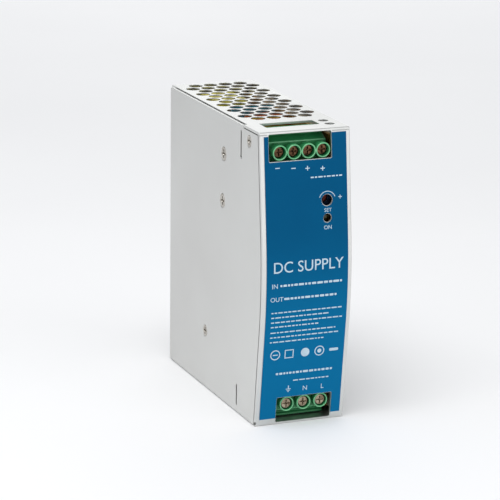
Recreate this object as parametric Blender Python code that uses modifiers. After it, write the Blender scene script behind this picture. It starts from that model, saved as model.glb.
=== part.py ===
"""A slim DIN rail power supply: bent sheet chassis, screwed side cover, boards, terminals and a rail clip.

The frame's origin is the middle of the rail seat. X points right as seen from the front, Y to the back, Z up.
Sizes below are millimetres. A height is measured up from the case's bottom face.
"""

import math

import bmesh
import bpy
from mathutils import Matrix, Vector

MM = 0.001
GAP = 0.3

# Case
CASE_WIDTH = 40.0
CASE_HEIGHT = 125.2
DEPTH = 113.5
RAIL_HEIGHT = 65.6
BACK_Y = -2.0
SHEET = 1.0
RIGHT_X = CASE_WIDTH / 2
LEFT_X = -CASE_WIDTH / 2
COVER_SHEET = 1.2
COVER_SEAM = 0.5
CHASSIS_LEFT_X = LEFT_X + COVER_SHEET + COVER_SEAM
COVER_SHORT = 2.9
FLANGE_WIDTH = 8.0
EAR_BACK_Y = -91.0

# Front panel: two straight stretches that meet in a soft bend
KNEE_HEIGHT = 61.2
LOWER_SLOPE = 0.1230
UPPER_SLOPE = 0.0973
BEND_HALF = 20.0
LABEL_X = (-18.0, 18.2)
LABEL_H = (2.9, 123.4)
LABEL_GAP = 0.1
LABEL_SHEET = 0.2

# Vents
VENT_ROWS = 13
VENT_PITCH = 7.02
VENT_ROW_PITCH = 6.08
VENT_RADIUS = 2.9
VENT_MIDDLE_X = 1.0
VENT_FIRST_Y = -8.2
VENT_SIDES = 6
SMALL_HOLES_Y = (-93.4, -100.0)

# Terminals
WIRE_WINDOW_Y = (-99.5, -91.2)
BLOCK_BACK_Y = -91.0
BLOCK_FRONT_Y = -104.0
BLOCK_HEIGHT = 11.6
SCREW_DEPTH = 7.2
COLLAR_RADIUS = 3.2
COLLAR_BORE = 2.6
HEAD_RADIUS = 2.2
SHANK_RADIUS = 1.45
SHANK_HOLE = 1.85
CAVITY_Y = (-103.0, -92.4)
CAVITY_S = (4.4, 10.0)
FUNNEL_Y = (-97.5, -93.2)
CAGE_TRAVEL = 3.0
CAGE_S = (4.7, 9.7)
CONTACT_Y = (-98.1, -97.3)
PIN_S = (10.1, 10.9)
BOARD_SHEET = 1.6
TERMINAL_BOARD_Y = -90.6

OUTPUT = dict(name="output", poles=4, pitch=6.35, middle_x=-1.5, face=123.6, inward=-1, funnel=2.2)
OUTPUT.update(window_x=(-13.3, 10.3), cutout_x=(-16.0, 11.6), cutout_h=(113.0, 124.2), head=2.9)
INPUT = dict(name="input", poles=3, pitch=7.62, middle_x=1.7, face=1.6, inward=1, funnel=2.6)
INPUT.update(window_x=(-9.6, 13.0), cutout_x=(-10.7, 13.9), cutout_h=(1.0, 12.0), head=2.6)

# Main board, parallel to the side walls
PCB_X = (13.4, 15.0)
PCB_Y = (-102.0, -8.0)
PCB_H = (4.0, 121.0)
BOARD_FACE_X = PCB_X[0] - GAP
BOARD_SCREWS = (("front", -84.0, 62.0), ("rear", -16.0, 62.0))
FILM_X = (17.0, 17.4)
FILM_H = (2.5, 122.5)
ADJUST_X = 9.2
ADJUST_H = 95.8
ADJUST_HOLE = 2.35
STATUS_H = 88.4
STATUS_HOLE = 1.75

# Rail clip
CLIP_Y = (-1.7, -0.5)
HOOK_HALF = 9.0
LATCH_HALF = 8.5
LIP_Y = (1.4, 2.6)
LIP_TIP_Z = 13.9
RAIL_HALF = 17.5
PLATE_HALF = 17.0
LATCH_Y = (-0.2, 1.0)
SPRING_Z = (-44.9, -30.3)
SPRING_Y = 2.3
SPRING_RADIUS = 1.7
SPRING_WIRE = 0.3
SPRING_TURNS = 7
GUIDE_Z = (-48.0, -26.0)
RIVET_Z = (10.0, -10.0)

# Side cover screws: name, y, height, head radius, and how deep the shank goes
COVER_SCREWS = (
    ("cover_screw", -97.0, 119.6, 2.5, 3.0),
    ("output_heatsink_screw_upper", -68.9, 108.4, 3.0, 4.6),
    ("output_heatsink_screw_lower", -67.8, 88.0, 3.0, 4.6),
    ("input_heatsink_screw", -48.5, 25.5, 2.5, 4.6),
)
# Tab slots in the side cover: y, low and high ends
TAB_SLOTS = ((-88.5, 110.8, 122.4), (-86.0, 3.2, 12.3))
HEATSINK_X = (-17.7, -15.7)

# Transformer: the outer box of its core, the middle leg, and how far the winding stands over the core
CORE_X = (-12.9, 11.1)
CORE_Y = (-35.0, -6.0)
CORE_H = (91.0, 119.0)
OUTER_LEG = 4.0
YOKE = 4.0
MIDDLE_LEG_X = (-4.4, 2.6)
WINDING_PROUD = 3.5

# Fuse, lying along Y
FUSE_X = 8.4
FUSE_Y = (-85.0, -65.0)
FUSE_H = 20.0
FUSE_CAP = 5.0

# Cans and rings on the board: name, y, height, radius, how far they stand out
BULK_CAPACITOR = ("bulk_capacitor", -20.0, 47.0, 11.0, 29.0)
OUTPUT_CAPACITORS = (
    ("output_capacitor_1", -40.7, 117.3, 5.0, 20.0),
    ("output_capacitor_2", -40.7, 106.3, 5.0, 20.0),
    ("output_capacitor_3", -40.7, 95.3, 5.0, 20.0),
)
OUTPUT_INDUCTOR = ("output_inductor", -57.5, 111.3, 11.0, 18.0)
LINE_CHOKE = ("line_choke", -52.0, 17.5, 10.0, 16.0)

COLOURS = {
    "case": ((0.60, 0.61, 0.60), 0.38, 0.9),
    "label": ((0.010, 0.120, 0.290), 0.45, 0.0),
    "board": ((0.20, 0.12, 0.05), 0.55, 0.0),
    "green": ((0.030, 0.230, 0.090), 0.40, 0.0),
    "zinc": ((0.62, 0.58, 0.48), 0.30, 1.0),
    "brass": ((0.70, 0.50, 0.22), 0.30, 1.0),
    "steel": ((0.70, 0.70, 0.70), 0.28, 1.0),
    "aluminium": ((0.75, 0.76, 0.77), 0.35, 1.0),
    "black": ((0.02, 0.02, 0.02), 0.45, 0.0),
    "ferrite": ((0.05, 0.05, 0.06), 0.60, 0.0),
    "tape": ((0.80, 0.72, 0.25), 0.50, 0.0),
    "sleeve": ((0.02, 0.16, 0.20), 0.35, 0.0),
    "film": ((0.80, 0.78, 0.70), 0.50, 0.0),
    "yellow": ((0.78, 0.55, 0.05), 0.45, 0.0),
    "copper": ((0.62, 0.28, 0.12), 0.35, 1.0),
    "glass": ((0.70, 0.72, 0.70), 0.10, 0.0),
    "blue": ((0.03, 0.14, 0.45), 0.45, 0.0),
    "lens": ((0.45, 0.50, 0.30), 0.25, 0.0),
}


def clear_scene():
    for old in list(bpy.data.objects):
        bpy.data.objects.remove(old, do_unlink=True)


def new_collection(name):
    found = bpy.data.collections.new(name)
    bpy.context.scene.collection.children.link(found)
    return found


clear_scene()
PARTS = new_collection("din_rail_power_supply")
CUTTERS = new_collection("cutters")
CUTTERS.hide_render = True


# ---------------------------------------------------------------- helpers


def z_of(height):
    """World Z of a height above the case's bottom face."""
    return height - RAIL_HEIGHT


def front_y(height):
    """Y of the front panel's outer face at a height: straight, softly bent, straight."""
    bend = 2 * BEND_HALF
    apex = LOWER_SLOPE * BEND_HALF - LOWER_SLOPE**2 * bend / (2 * (LOWER_SLOPE + UPPER_SLOPE))
    knee_y = -(DEPTH - LABEL_GAP - LABEL_SHEET) - apex
    along = height - (KNEE_HEIGHT - BEND_HALF)
    if along <= 0:
        return knee_y + LOWER_SLOPE * (KNEE_HEIGHT - height)
    if along >= bend:
        return knee_y + UPPER_SLOPE * (height - KNEE_HEIGHT)
    sag = (LOWER_SLOPE + UPPER_SLOPE) * along**2 / (2 * bend)
    return knee_y + LOWER_SLOPE * BEND_HALF - LOWER_SLOPE * along + sag


def front_outline(low, high, shift=0.0, steps=6):
    """Points (y, height) up the front face from one height to another, moved back by shift."""
    bend = [KNEE_HEIGHT - BEND_HALF + 2 * BEND_HALF * i / steps for i in range(steps + 1)]
    heights = [low] + bend + [high]
    return [(front_y(h) + shift, h) for h in heights]


def material(name):
    found = bpy.data.materials.get(name)
    if found:
        return found
    colour, roughness, metallic = COLOURS[name]
    found = bpy.data.materials.new(name)
    found.use_nodes = True
    shader = found.node_tree.nodes["Principled BSDF"]
    shader.inputs["Base Color"].default_value = (*colour, 1.0)
    shader.inputs["Roughness"].default_value = roughness
    shader.inputs["Metallic"].default_value = metallic
    return found


def place(name, mesh, collection, origin=(0.0, 0.0, 0.0)):
    """An object in metres from a mesh in millimetres that lies where it belongs, with its origin at a point."""
    mesh.transform(Matrix.Scale(MM, 4) @ Matrix.Translation(-Vector(origin)))
    obj = bpy.data.objects.new(name, mesh)
    obj.location = Vector(origin) * MM
    collection.objects.link(obj)
    return obj


def finish(obj, colour):
    obj.data.materials.clear()
    obj.data.materials.append(material(colour))
    return obj


def as_cutter(obj):
    for owner in list(obj.users_collection):
        owner.objects.unlink(obj)
    CUTTERS.objects.link(obj)
    obj.hide_render = True
    obj.display_type = "WIRE"
    return obj


def mesh_from(bm, name):
    bmesh.ops.recalc_face_normals(bm, faces=bm.faces)
    mesh = bpy.data.meshes.new(name)
    bm.to_mesh(mesh)
    bm.free()
    return mesh


def box(name, x, y, z, origin=(0.0, 0.0, 0.0)):
    """A box between pairs of X, Y and Z."""
    bm = bmesh.new()
    size = Matrix.Diagonal((x[1] - x[0], y[1] - y[0], z[1] - z[0], 1.0))
    middle = Matrix.Translation((sum(x) / 2, sum(y) / 2, sum(z) / 2))
    bmesh.ops.create_cube(bm, size=1.0, matrix=middle @ size)
    return place(name, mesh_from(bm, name), PARTS, origin)


AXES = {
    "X": Matrix.Rotation(math.pi / 2, 4, "Y"),
    "Y": Matrix.Rotation(-math.pi / 2, 4, "X"),
    "Z": Matrix.Identity(4),
}


def rod(name, axis, start, length, radius, sides=12, far_radius=None, origin=(0.0, 0.0, 0.0)):
    """A cylinder or cone from its start point along +X, +Y or +Z."""
    bm = bmesh.new()
    far_radius = radius if far_radius is None else far_radius
    turn = Matrix.Translation(start) @ AXES[axis] @ Matrix.Translation((0, 0, length / 2))
    bmesh.ops.create_cone(
        bm, cap_ends=True, segments=sides, radius1=radius, radius2=far_radius, depth=length, matrix=turn
    )
    return place(name, mesh_from(bm, name), PARTS, origin)


def sheet(name, outline, across, plane, origin=(0.0, 0.0, 0.0)):
    """A flat outline, given in two world axes, filled and extruded between two values of the third."""
    curve = bpy.data.curves.new(name, "CURVE")
    curve.dimensions = "2D"
    curve.fill_mode = "BOTH"
    curve.extrude = (across[1] - across[0]) / 2
    spline = curve.splines.new("POLY")
    spline.points.add(len(outline) - 1)
    for point, (u, v) in zip(spline.points, outline):
        point.co = (u, v, 0.0, 1.0)
    spline.use_cyclic_u = True
    guide = bpy.data.objects.new(name + "_outline", curve)
    CUTTERS.objects.link(guide)
    evaluated = guide.evaluated_get(bpy.context.evaluated_depsgraph_get())
    mesh = bpy.data.meshes.new_from_object(evaluated)
    bpy.data.objects.remove(guide, do_unlink=True)
    bm = bmesh.new()
    bm.from_mesh(mesh)
    bmesh.ops.remove_doubles(bm, verts=bm.verts, dist=1e-4)
    middle = sum(across) / 2
    places = {"YZ": (2, 0, 1), "ZX": (1, 2, 0), "XY": (0, 1, 2)}[plane]
    for vertex in bm.verts:
        local = (vertex.co.x, vertex.co.y, vertex.co.z + middle)
        vertex.co = [local[i] for i in places]
    bpy.data.meshes.remove(mesh)
    return place(name, mesh_from(bm, name), PARTS, origin)


def turned(name, profile, sides, rotation, origin):
    """A profile of (radius, height) from top to bottom, turned round the object's own Z axis."""
    mesh = bpy.data.meshes.new(name)
    points = [(r * MM, 0.0, t * MM) for r, t in profile]
    mesh.from_pydata(points, [(i, i + 1) for i in range(len(points) - 1)], [])
    obj = bpy.data.objects.new(name, mesh)
    obj.location = Vector(origin) * MM
    obj.rotation_euler = rotation
    PARTS.objects.link(obj)
    screw = obj.modifiers.new("turn", "SCREW")
    screw.steps = sides
    screw.render_steps = sides
    screw.use_merge_vertices = True
    screw.merge_threshold = 1e-5
    screw.use_smooth_shade = False
    return obj


def boolean(obj, others, operation):
    for other in others:
        modifier = obj.modifiers.new(operation.lower() + "_" + other.name, "BOOLEAN")
        modifier.operation = operation
        modifier.solver = "EXACT"
        modifier.object = as_cutter(other)
    return obj


def join(obj, *others):
    return boolean(obj, others, "UNION")


def cut(obj, *others):
    return boolean(obj, others, "DIFFERENCE")


def merged(name, pieces):
    """One cutter from separate ones that don't touch, so that a grid of holes is one Boolean."""
    bm = bmesh.new()
    for piece in pieces:
        part = piece.data.copy()
        part.transform(Matrix.Translation(piece.location))
        bm.from_mesh(part)
        bpy.data.objects.remove(piece, do_unlink=True)
    mesh = bpy.data.meshes.new(name)
    bm.to_mesh(mesh)
    bm.free()
    obj = bpy.data.objects.new(name, mesh)
    PARTS.objects.link(obj)
    return obj


# ---------------------------------------------------------------- terminals


def pole_x(kind, pole):
    return kind["middle_x"] + kind["pitch"] * (pole - (kind["poles"] - 1) / 2)


def s_range(kind, low, high):
    """World Z pair of two depths measured inwards from the block's wire face."""
    ends = [z_of(kind["face"] + kind["inward"] * s) for s in (low, high)]
    return (min(ends), max(ends))


def screw_z(kind):
    return z_of(kind["face"] + kind["inward"] * SCREW_DEPTH)


def collar_front(kind):
    return front_y(screw_z(kind) + RAIL_HEIGHT)


def cavity_half(kind):
    return kind["pitch"] / 2 - 0.43


def terminal_block(kind):
    """A moulded block: wire funnels in one face, screw collars in front, and a cage cavity in each pole."""
    half = kind["poles"] * kind["pitch"] / 2
    sides = (kind["middle_x"] - half, kind["middle_x"] + half)
    section = [
        (BLOCK_BACK_Y, 0.0),
        (-101.0, 0.0),
        (-101.0, 0.9),
        (-99.8, 1.2),
        (-99.8, 1.8),
        (BLOCK_FRONT_Y, 3.6),
        (BLOCK_FRONT_Y, BLOCK_HEIGHT),
        (BLOCK_BACK_Y, BLOCK_HEIGHT),
    ]
    outline = [(y, z_of(kind["face"] + kind["inward"] * s)) for y, s in section]
    block = sheet(kind["name"] + "_terminal_block", outline, sides, "YZ")
    front = collar_front(kind)
    height = screw_z(kind)
    for pole in range(kind["poles"]):
        x = pole_x(kind, pole)
        tag = f"{kind['name']}_{pole}_"
        collar = rod(tag + "collar", "Y", (x, front, height), BLOCK_FRONT_Y - front + 0.5, COLLAR_RADIUS, 20)
        join(block, collar)
    for pole in range(kind["poles"]):
        x = pole_x(kind, pole)
        tag = f"{kind['name']}_{pole}_"
        across = (x - cavity_half(kind), x + cavity_half(kind))
        funnel = (x - kind["funnel"], x + kind["funnel"])
        cut(
            block,
            rod(tag + "bore", "Y", (x, front - 1, height), BLOCK_FRONT_Y - front + 1, COLLAR_BORE, 20),
            rod(tag + "shank_hole", "Y", (x, BLOCK_FRONT_Y - 0.5, height), 2.0, SHANK_HOLE, 12),
            box(tag + "cavity", across, CAVITY_Y, s_range(kind, *CAVITY_S)),
            box(tag + "funnel", funnel, FUNNEL_Y, s_range(kind, -1.0, 4.7)),
            box(tag + "pin_way", (x - 0.8, x + 0.8), (-98.4, -90.0), s_range(kind, 9.8, 11.2)),
        )
    return finish(block, "green")


def cross_recess(name, centre, half, width, depth, axis):
    """Two crossing slots, half long each way, that enter along Y or X from a screw's head."""
    x, y, z = centre
    w = width / 2
    if axis == "Y":
        into = (y - 1, y + depth)
        return (
            box(name + "_level", (x - half, x + half), into, (z - w, z + w)),
            box(name + "_upright", (x - w, x + w), into, (z - half, z + half)),
        )
    into = (x - 1, x + depth)
    return (
        box(name + "_level", into, (y - half, y + half), (z - w, z + w)),
        box(name + "_upright", into, (y - w, y + w), (z - half, z + half)),
    )


def terminal_screw(kind, pole):
    """A cheese-head screw on its own axis, head to the front, tip just short of the contact."""
    name = f"{kind['name']}_screw_{pole + 1}"
    x = pole_x(kind, pole)
    seat = BLOCK_FRONT_Y - GAP
    tip = CONTACT_Y[0] - GAP
    head = kind["head"]
    profile = [
        (0.0, head),
        (HEAD_RADIUS, head),
        (HEAD_RADIUS, 0.0),
        (SHANK_RADIUS, 0.0),
        (SHANK_RADIUS, seat - tip + 0.3),
        (SHANK_RADIUS - 0.3, seat - tip),
        (0.0, seat - tip),
    ]
    screw = turned(name, profile, 12, (math.pi / 2, 0, 0), (x, seat, screw_z(kind)))
    recess = cross_recess(name + "_recess", (x, seat - head, screw_z(kind)), 1.6, 0.75, 1.3, "Y")
    return finish(cut(screw, *recess), "zinc")


def terminal_cage(kind, pole):
    """A square nut ring that climbs the screw and squeezes the wire on the contact."""
    name = f"{kind['name']}_cage_{pole + 1}"
    x = pole_x(kind, pole)
    half = cavity_half(kind) - GAP
    inner = half - 0.6
    back = CAVITY_Y[1] - GAP
    front = CAVITY_Y[0] + GAP + CAGE_TRAVEL
    cage = box(name, (x - half, x + half), (front, back), s_range(kind, *CAGE_S), (x, front, screw_z(kind)))
    through = s_range(kind, CAGE_S[0] - 1, CAGE_S[1] + 1)
    hollow = box(name + "_hollow", (x - inner, x + inner), (front + 1.3, back - 0.8), through)
    thread = rod(name + "_thread", "Y", (x, front - 0.5, screw_z(kind)), 2.3, SHANK_RADIUS + 0.35, 12)
    return finish(cut(cage, hollow, thread), "zinc")


def terminal_contact(kind, pole):
    """A bar through the cage whose foot turns back through the block and the terminal board."""
    name = f"{kind['name']}_contact_{pole + 1}"
    x = pole_x(kind, pole)
    front, back = CONTACT_Y
    pin_end = TERMINAL_BOARD_Y + BOARD_SHEET + 1.4
    section = [
        (front, 4.8),
        (front, PIN_S[1]),
        (pin_end, PIN_S[1]),
        (pin_end, PIN_S[0]),
        (back, PIN_S[0]),
        (back, 4.8),
    ]
    outline = [(y, z_of(kind["face"] + kind["inward"] * s)) for y, s in section]
    contact = sheet(name, outline, (x - 0.5, x + 0.5), "YZ")
    bar = box(name + "_bar", (x - 1.3, x + 1.3), (front, back), s_range(kind, 5.0, 9.6))
    return finish(join(contact, bar), "brass")


def terminal_board(kind):
    """A small board across the case that carries one terminal block and meets the main board."""
    reach = (kind["middle_x"] - kind["poles"] * kind["pitch"] / 2, PCB_X[0] - GAP)
    deep = s_range(kind, 1.0, 19.0)
    back = (TERMINAL_BOARD_Y, TERMINAL_BOARD_Y + BOARD_SHEET)
    board = box(kind["name"] + "_terminal_board", reach, back, deep)
    for pole in range(kind["poles"]):
        x = pole_x(kind, pole)
        way = (TERMINAL_BOARD_Y - 1, TERMINAL_BOARD_Y + BOARD_SHEET + 1)
        cut(board, box(f"{board.name}_hole_{pole}", (x - 0.8, x + 0.8), way, s_range(kind, 9.8, 11.2)))
    return finish(board, "board")


def terminals(kind):
    terminal_block(kind)
    terminal_board(kind)
    for pole in range(kind["poles"]):
        terminal_screw(kind, pole)
        terminal_cage(kind, pole)
        terminal_contact(kind, pole)


# ---------------------------------------------------------------- case


def vent_holes(name, z):
    """Staggered rows of vent holes, four and five by turns."""
    pieces = []
    for row in range(VENT_ROWS):
        count = 4 + row % 2
        for i in range(count):
            x = VENT_MIDDLE_X + VENT_PITCH * (i - (count - 1) / 2)
            y = VENT_FIRST_Y - VENT_ROW_PITCH * row
            pieces.append(rod(f"{name}_{row}_{i}", "Z", (x, y, z), 3 * SHEET, VENT_RADIUS, VENT_SIDES))
    return merged(name, pieces)


def chassis_shell():
    """One bent sheet: front, right wall, top, bottom and back, open to the left, with two screw flanges."""
    outer = front_outline(0.0, CASE_HEIGHT) + [(BACK_Y, CASE_HEIGHT), (BACK_Y, 0.0)]
    inner = front_outline(SHEET, CASE_HEIGHT - SHEET, SHEET)
    inner += [(BACK_Y - SHEET, CASE_HEIGHT - SHEET), (BACK_Y - SHEET, SHEET)]
    shell = sheet("chassis_shell", [(y, z_of(h)) for y, h in outer], (CHASSIS_LEFT_X, RIGHT_X), "YZ")
    hollow = sheet("case_hollow", [(y, z_of(h)) for y, h in inner], (LEFT_X - 5, RIGHT_X - SHEET), "YZ")
    cut(shell, hollow)
    flange_x = (CHASSIS_LEFT_X, CHASSIS_LEFT_X + SHEET)
    top = (z_of(CASE_HEIGHT - FLANGE_WIDTH), z_of(CASE_HEIGHT - SHEET / 2))
    bottom = (z_of(SHEET / 2), z_of(FLANGE_WIDTH))
    rear = (z_of(FLANGE_WIDTH + 1), z_of(CASE_HEIGHT - FLANGE_WIDTH - 1))
    ear = (z_of(CASE_HEIGHT - SHEET), z_of(CASE_HEIGHT))
    strip = front_outline(0.0, CASE_HEIGHT) + front_outline(0.0, CASE_HEIGHT, SHEET)[::-1]
    strip_x = (LEFT_X, CHASSIS_LEFT_X + 1.3)
    join(
        shell,
        box("top_flange", flange_x, (-103.0, -8.0), top),
        box("bottom_flange", flange_x, (-101.0, -8.0), bottom),
        box("rear_flange", flange_x, (-10.0, BACK_Y - SHEET / 2), rear),
        sheet("front_strip", [(y, z_of(h)) for y, h in strip], strip_x, "YZ"),
        box("top_ear", (LEFT_X, CHASSIS_LEFT_X + 1), (front_y(CASE_HEIGHT) + SHEET / 2, EAR_BACK_Y), ear),
    )
    for side, y, height in BOARD_SCREWS:
        join(shell, rod(f"standoff_{side}", "X", (PCB_X[1] + GAP, y, z_of(height)), 4.0, 3.0, 10))
    cut(
        shell,
        vent_holes("top_vents", z_of(CASE_HEIGHT) - 2 * SHEET),
        vent_holes("bottom_vents", z_of(0) - SHEET),
        merged(
            "small_top_holes",
            [rod(f"small_hole_{y}", "Z", (14.5, y, z_of(CASE_HEIGHT) - 2), 3, 2.1, 8) for y in SMALL_HOLES_Y],
        ),
        rod("adjust_hole", "Y", (ADJUST_X, -118.0, z_of(ADJUST_H)), 12, ADJUST_HOLE, 16),
        rod("status_hole", "Y", (ADJUST_X, -118.0, z_of(STATUS_H)), 12, STATUS_HOLE, 12),
        rod("cover_screw_hole", "X", (-19.0, COVER_SCREWS[0][1], z_of(COVER_SCREWS[0][2])), 3, 1.8, 10),
        merged("rivet_holes", [rod(f"rivet_hole_{z}", "Y", (0, -4, z), 3, 1.8, 10) for z in RIVET_Z]),
    )
    for kind in (OUTPUT, INPUT):
        plate = z_of(CASE_HEIGHT) if kind is OUTPUT else z_of(0)
        cut(
            shell,
            box(kind["name"] + "_window", kind["window_x"], WIRE_WINDOW_Y, (plate - 1.5, plate + 1.5)),
            box(kind["name"] + "_cutout", kind["cutout_x"], (-112, -103), [z_of(h) for h in kind["cutout_h"]]),
        )
    return finish(shell, "case")


def side_cover():
    """The removable left plate, with countersunk screw holes and two tab slots."""
    low = 0.4
    high = CASE_HEIGHT - 0.4
    under_ear = CASE_HEIGHT - SHEET - 0.4
    back = BACK_Y - COVER_SHORT
    outline = front_outline(low, under_ear, SHEET + GAP)
    outline += [(EAR_BACK_Y + GAP, under_ear), (EAR_BACK_Y + GAP, high), (back, high), (back, low)]
    cover = sheet("side_cover", [(y, z_of(h)) for y, h in outline], (LEFT_X, LEFT_X + COVER_SHEET), "YZ")
    for name, y, height, head, _ in COVER_SCREWS:
        start = (LEFT_X - 0.4, y, z_of(height))
        wide = head + 0.3 + 0.4
        cut(cover, rod(name + "_sink", "X", start, 2.4, wide, 16, wide - 2.4))
    for y, bottom, top in TAB_SLOTS:
        way = (z_of(bottom), z_of(top))
        cut(cover, box(f"tab_slot_{top}", (LEFT_X - 1, LEFT_X + 3), (y - 0.6, y + 0.6), way))
    return finish(cover, "case")


def front_label():
    """A printed film that follows the front face round the cutouts."""
    back = front_outline(*LABEL_H, -LABEL_GAP)
    front = front_outline(*LABEL_H, -LABEL_GAP - LABEL_SHEET)
    film = sheet("front_label", [(y, z_of(h)) for y, h in front + back[::-1]], LABEL_X, "YZ")
    for kind in (OUTPUT, INPUT):
        x = (kind["cutout_x"][0] - 0.2, kind["cutout_x"][1] + 0.2)
        ends = (kind["cutout_h"][0] - 0.2, 130.0) if kind is OUTPUT else (-5.0, kind["cutout_h"][1] + 0.2)
        cut(film, box(kind["name"] + "_label_cutout", x, (-118, -100), [z_of(h) for h in ends]))
    cut(
        film,
        rod("adjust_label_hole", "Y", (ADJUST_X, -118.0, z_of(ADJUST_H)), 12, ADJUST_HOLE + 0.2, 16),
        rod("status_label_hole", "Y", (ADJUST_X, -118.0, z_of(STATUS_H)), 12, STATUS_HOLE + 0.2, 12),
    )
    return finish(film, "label")


def cover_screws():
    for name, y, height, head, reach in COVER_SCREWS:
        profile = [
            (0.0, 0.0),
            (head, 0.0),
            (1.4, -(head - 1.4)),
            (1.4, -reach),
            (0.0, -reach),
        ]
        origin = (LEFT_X, y, z_of(height))
        screw = turned(name, profile, 16, (0, -math.pi / 2, 0), origin)
        recess = cross_recess(name + "_recess", origin, 0.55 * head, 0.7, 0.8, "X")
        finish(cut(screw, *recess), "steel")


# ---------------------------------------------------------------- electronics


def main_board():
    board = box("main_board", PCB_X, PCB_Y, [z_of(h) for h in PCB_H])
    profile = [(0.0, 1.6), (2.2, 1.6), (2.7, 0.9), (2.7, 0.0), (1.4, 0.0), (1.4, -1.7), (0.0, -1.7)]
    for side, y, height in BOARD_SCREWS:
        cut(board, rod(f"board_hole_{side}", "X", (PCB_X[0] - 1, y, z_of(height)), 4, 1.8, 10))
        origin = (BOARD_FACE_X, y, z_of(height))
        finish(turned(f"board_screw_{side}", profile, 12, (0, -math.pi / 2, 0), origin), "steel")
    return finish(board, "board")


def insulation_sheet():
    """A bent film between the boards and the case's right wall, with holes for the standoffs."""
    film = box("insulation_sheet", FILM_X, (PCB_Y[0], PCB_Y[1] + 3), [z_of(h) for h in FILM_H])
    for side, y, height in BOARD_SCREWS:
        cut(film, rod(f"film_hole_{side}", "X", (FILM_X[0] - 1, y, z_of(height)), 3, 3.5, 12))
    return finish(film, "film")


def capacitor(name, y, height, radius, tall, colour, sides):
    """A can on the board with a rolled groove near its foot and a scored end."""
    groove = 0.93 * radius
    profile = [
        (0.0, tall - 0.3),
        (radius - 0.8, tall - 0.3),
        (radius - 0.6, tall),
        (radius, tall - 0.6),
        (radius, 3.4),
        (groove, 2.7),
        (radius, 2.0),
        (radius, 0.0),
        (0.0, 0.0),
    ]
    origin = (BOARD_FACE_X, y, z_of(height))
    return finish(turned(name, profile, sides, (0, -math.pi / 2, 0), origin), colour)


def on_board(name, y, height, size, colour, stand=0.0):
    """A box part on the board: its size is (out from the board, along Y, along Z)."""
    out, along, tall = size
    x = (BOARD_FACE_X - stand - out, BOARD_FACE_X - stand)
    part = box(name, x, (y - along / 2, y + along / 2), (z_of(height - tall / 2), z_of(height + tall / 2)))
    return finish(part, colour)


def transformer():
    """A ferrite core, its two outer legs and its middle one along Y, and the taped winding round the middle."""
    core = box("transformer_core", CORE_X, CORE_Y, [z_of(h) for h in CORE_H])
    gap_y = (CORE_Y[0] + YOKE, CORE_Y[1] - YOKE)
    through = (z_of(CORE_H[0] - 1), z_of(CORE_H[1] + 1))
    inner_x = (CORE_X[0] + OUTER_LEG, CORE_X[1] - OUTER_LEG)
    cut(
        core,
        box("core_window_left", (inner_x[0], MIDDLE_LEG_X[0]), gap_y, through),
        box("core_window_right", (MIDDLE_LEG_X[1], inner_x[1]), gap_y, through),
    )
    finish(core, "ferrite")
    wound_x = (inner_x[0] + GAP, inner_x[1] - GAP)
    wound_y = (gap_y[0] + GAP, gap_y[1] - GAP)
    wound_h = (CORE_H[0] - WINDING_PROUD, CORE_H[1] + WINDING_PROUD)
    winding = box("transformer_winding", wound_x, wound_y, [z_of(h) for h in wound_h])
    leg_x = (MIDDLE_LEG_X[0] - GAP, MIDDLE_LEG_X[1] + GAP)
    leg_z = (z_of(CORE_H[0] - GAP), z_of(CORE_H[1] + GAP))
    cut(winding, box("middle_leg_way", leg_x, (CORE_Y[0] - 1, CORE_Y[1] + 1), leg_z))
    return finish(winding, "tape")


def ring_part(name, y, height, radius, tall, hole, colour):
    """A wound ring standing on the board."""
    profile = [
        (hole, tall),
        (radius - 1.2, tall),
        (radius, tall - 1.2),
        (radius, 1.2),
        (radius - 1.2, 0.0),
        (hole, 0.0),
        (hole, tall),
    ]
    origin = (BOARD_FACE_X, y, z_of(height))
    return finish(turned(name, profile, 18, (0, -math.pi / 2, 0), origin), colour)


def heatsink(name, y, height, screws):
    """A flat aluminium bar against the side cover, with a foot that reaches towards the board."""
    bar = box(name, HEATSINK_X, y, [z_of(h) for h in height])
    foot_x = (HEATSINK_X[0], HEATSINK_X[0] + 9.0)
    join(bar, box(name + "_foot", foot_x, (y[1] - 2.0, y[1]), [z_of(h) for h in height]))
    for screw, screw_y, screw_height, _, _ in screws:
        cut(bar, rod(screw + "_tap", "X", (HEATSINK_X[0] - 1, screw_y, z_of(screw_height)), 5, 1.8, 10))
    return finish(bar, "aluminium")


def power_device(name, y, height):
    """A flat plastic package on the heatsink's inner face, with its tab hole, on leads to the board."""
    x = (HEATSINK_X[1] + GAP, HEATSINK_X[1] + GAP + 4.6)
    body = box(name, x, (y - 5.0, y + 5.0), (z_of(height - 7.5), z_of(height + 7.5)))
    leads_x = (x[1] - 2, BOARD_FACE_X)
    leads = box(name + "_leads", leads_x, (y - 3.2, y + 3.2), (z_of(height - 6.9), z_of(height - 6.1)))
    return finish(join(body, leads), "black")


def fuse():
    """A ceramic tube fuse with two metal caps, lying along Y."""
    length = FUSE_Y[1] - FUSE_Y[0]
    body = rod("input_fuse", "Y", (FUSE_X, FUSE_Y[0], z_of(FUSE_H)), length, 2.3, 12)
    for end, y in (("front", FUSE_Y[0] - 0.2), ("rear", FUSE_Y[1] + 0.2 - FUSE_CAP)):
        join(body, rod(f"fuse_cap_{end}", "Y", (FUSE_X, y, z_of(FUSE_H)), FUSE_CAP, 2.7, 12))
    return finish(body, "glass")


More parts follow.
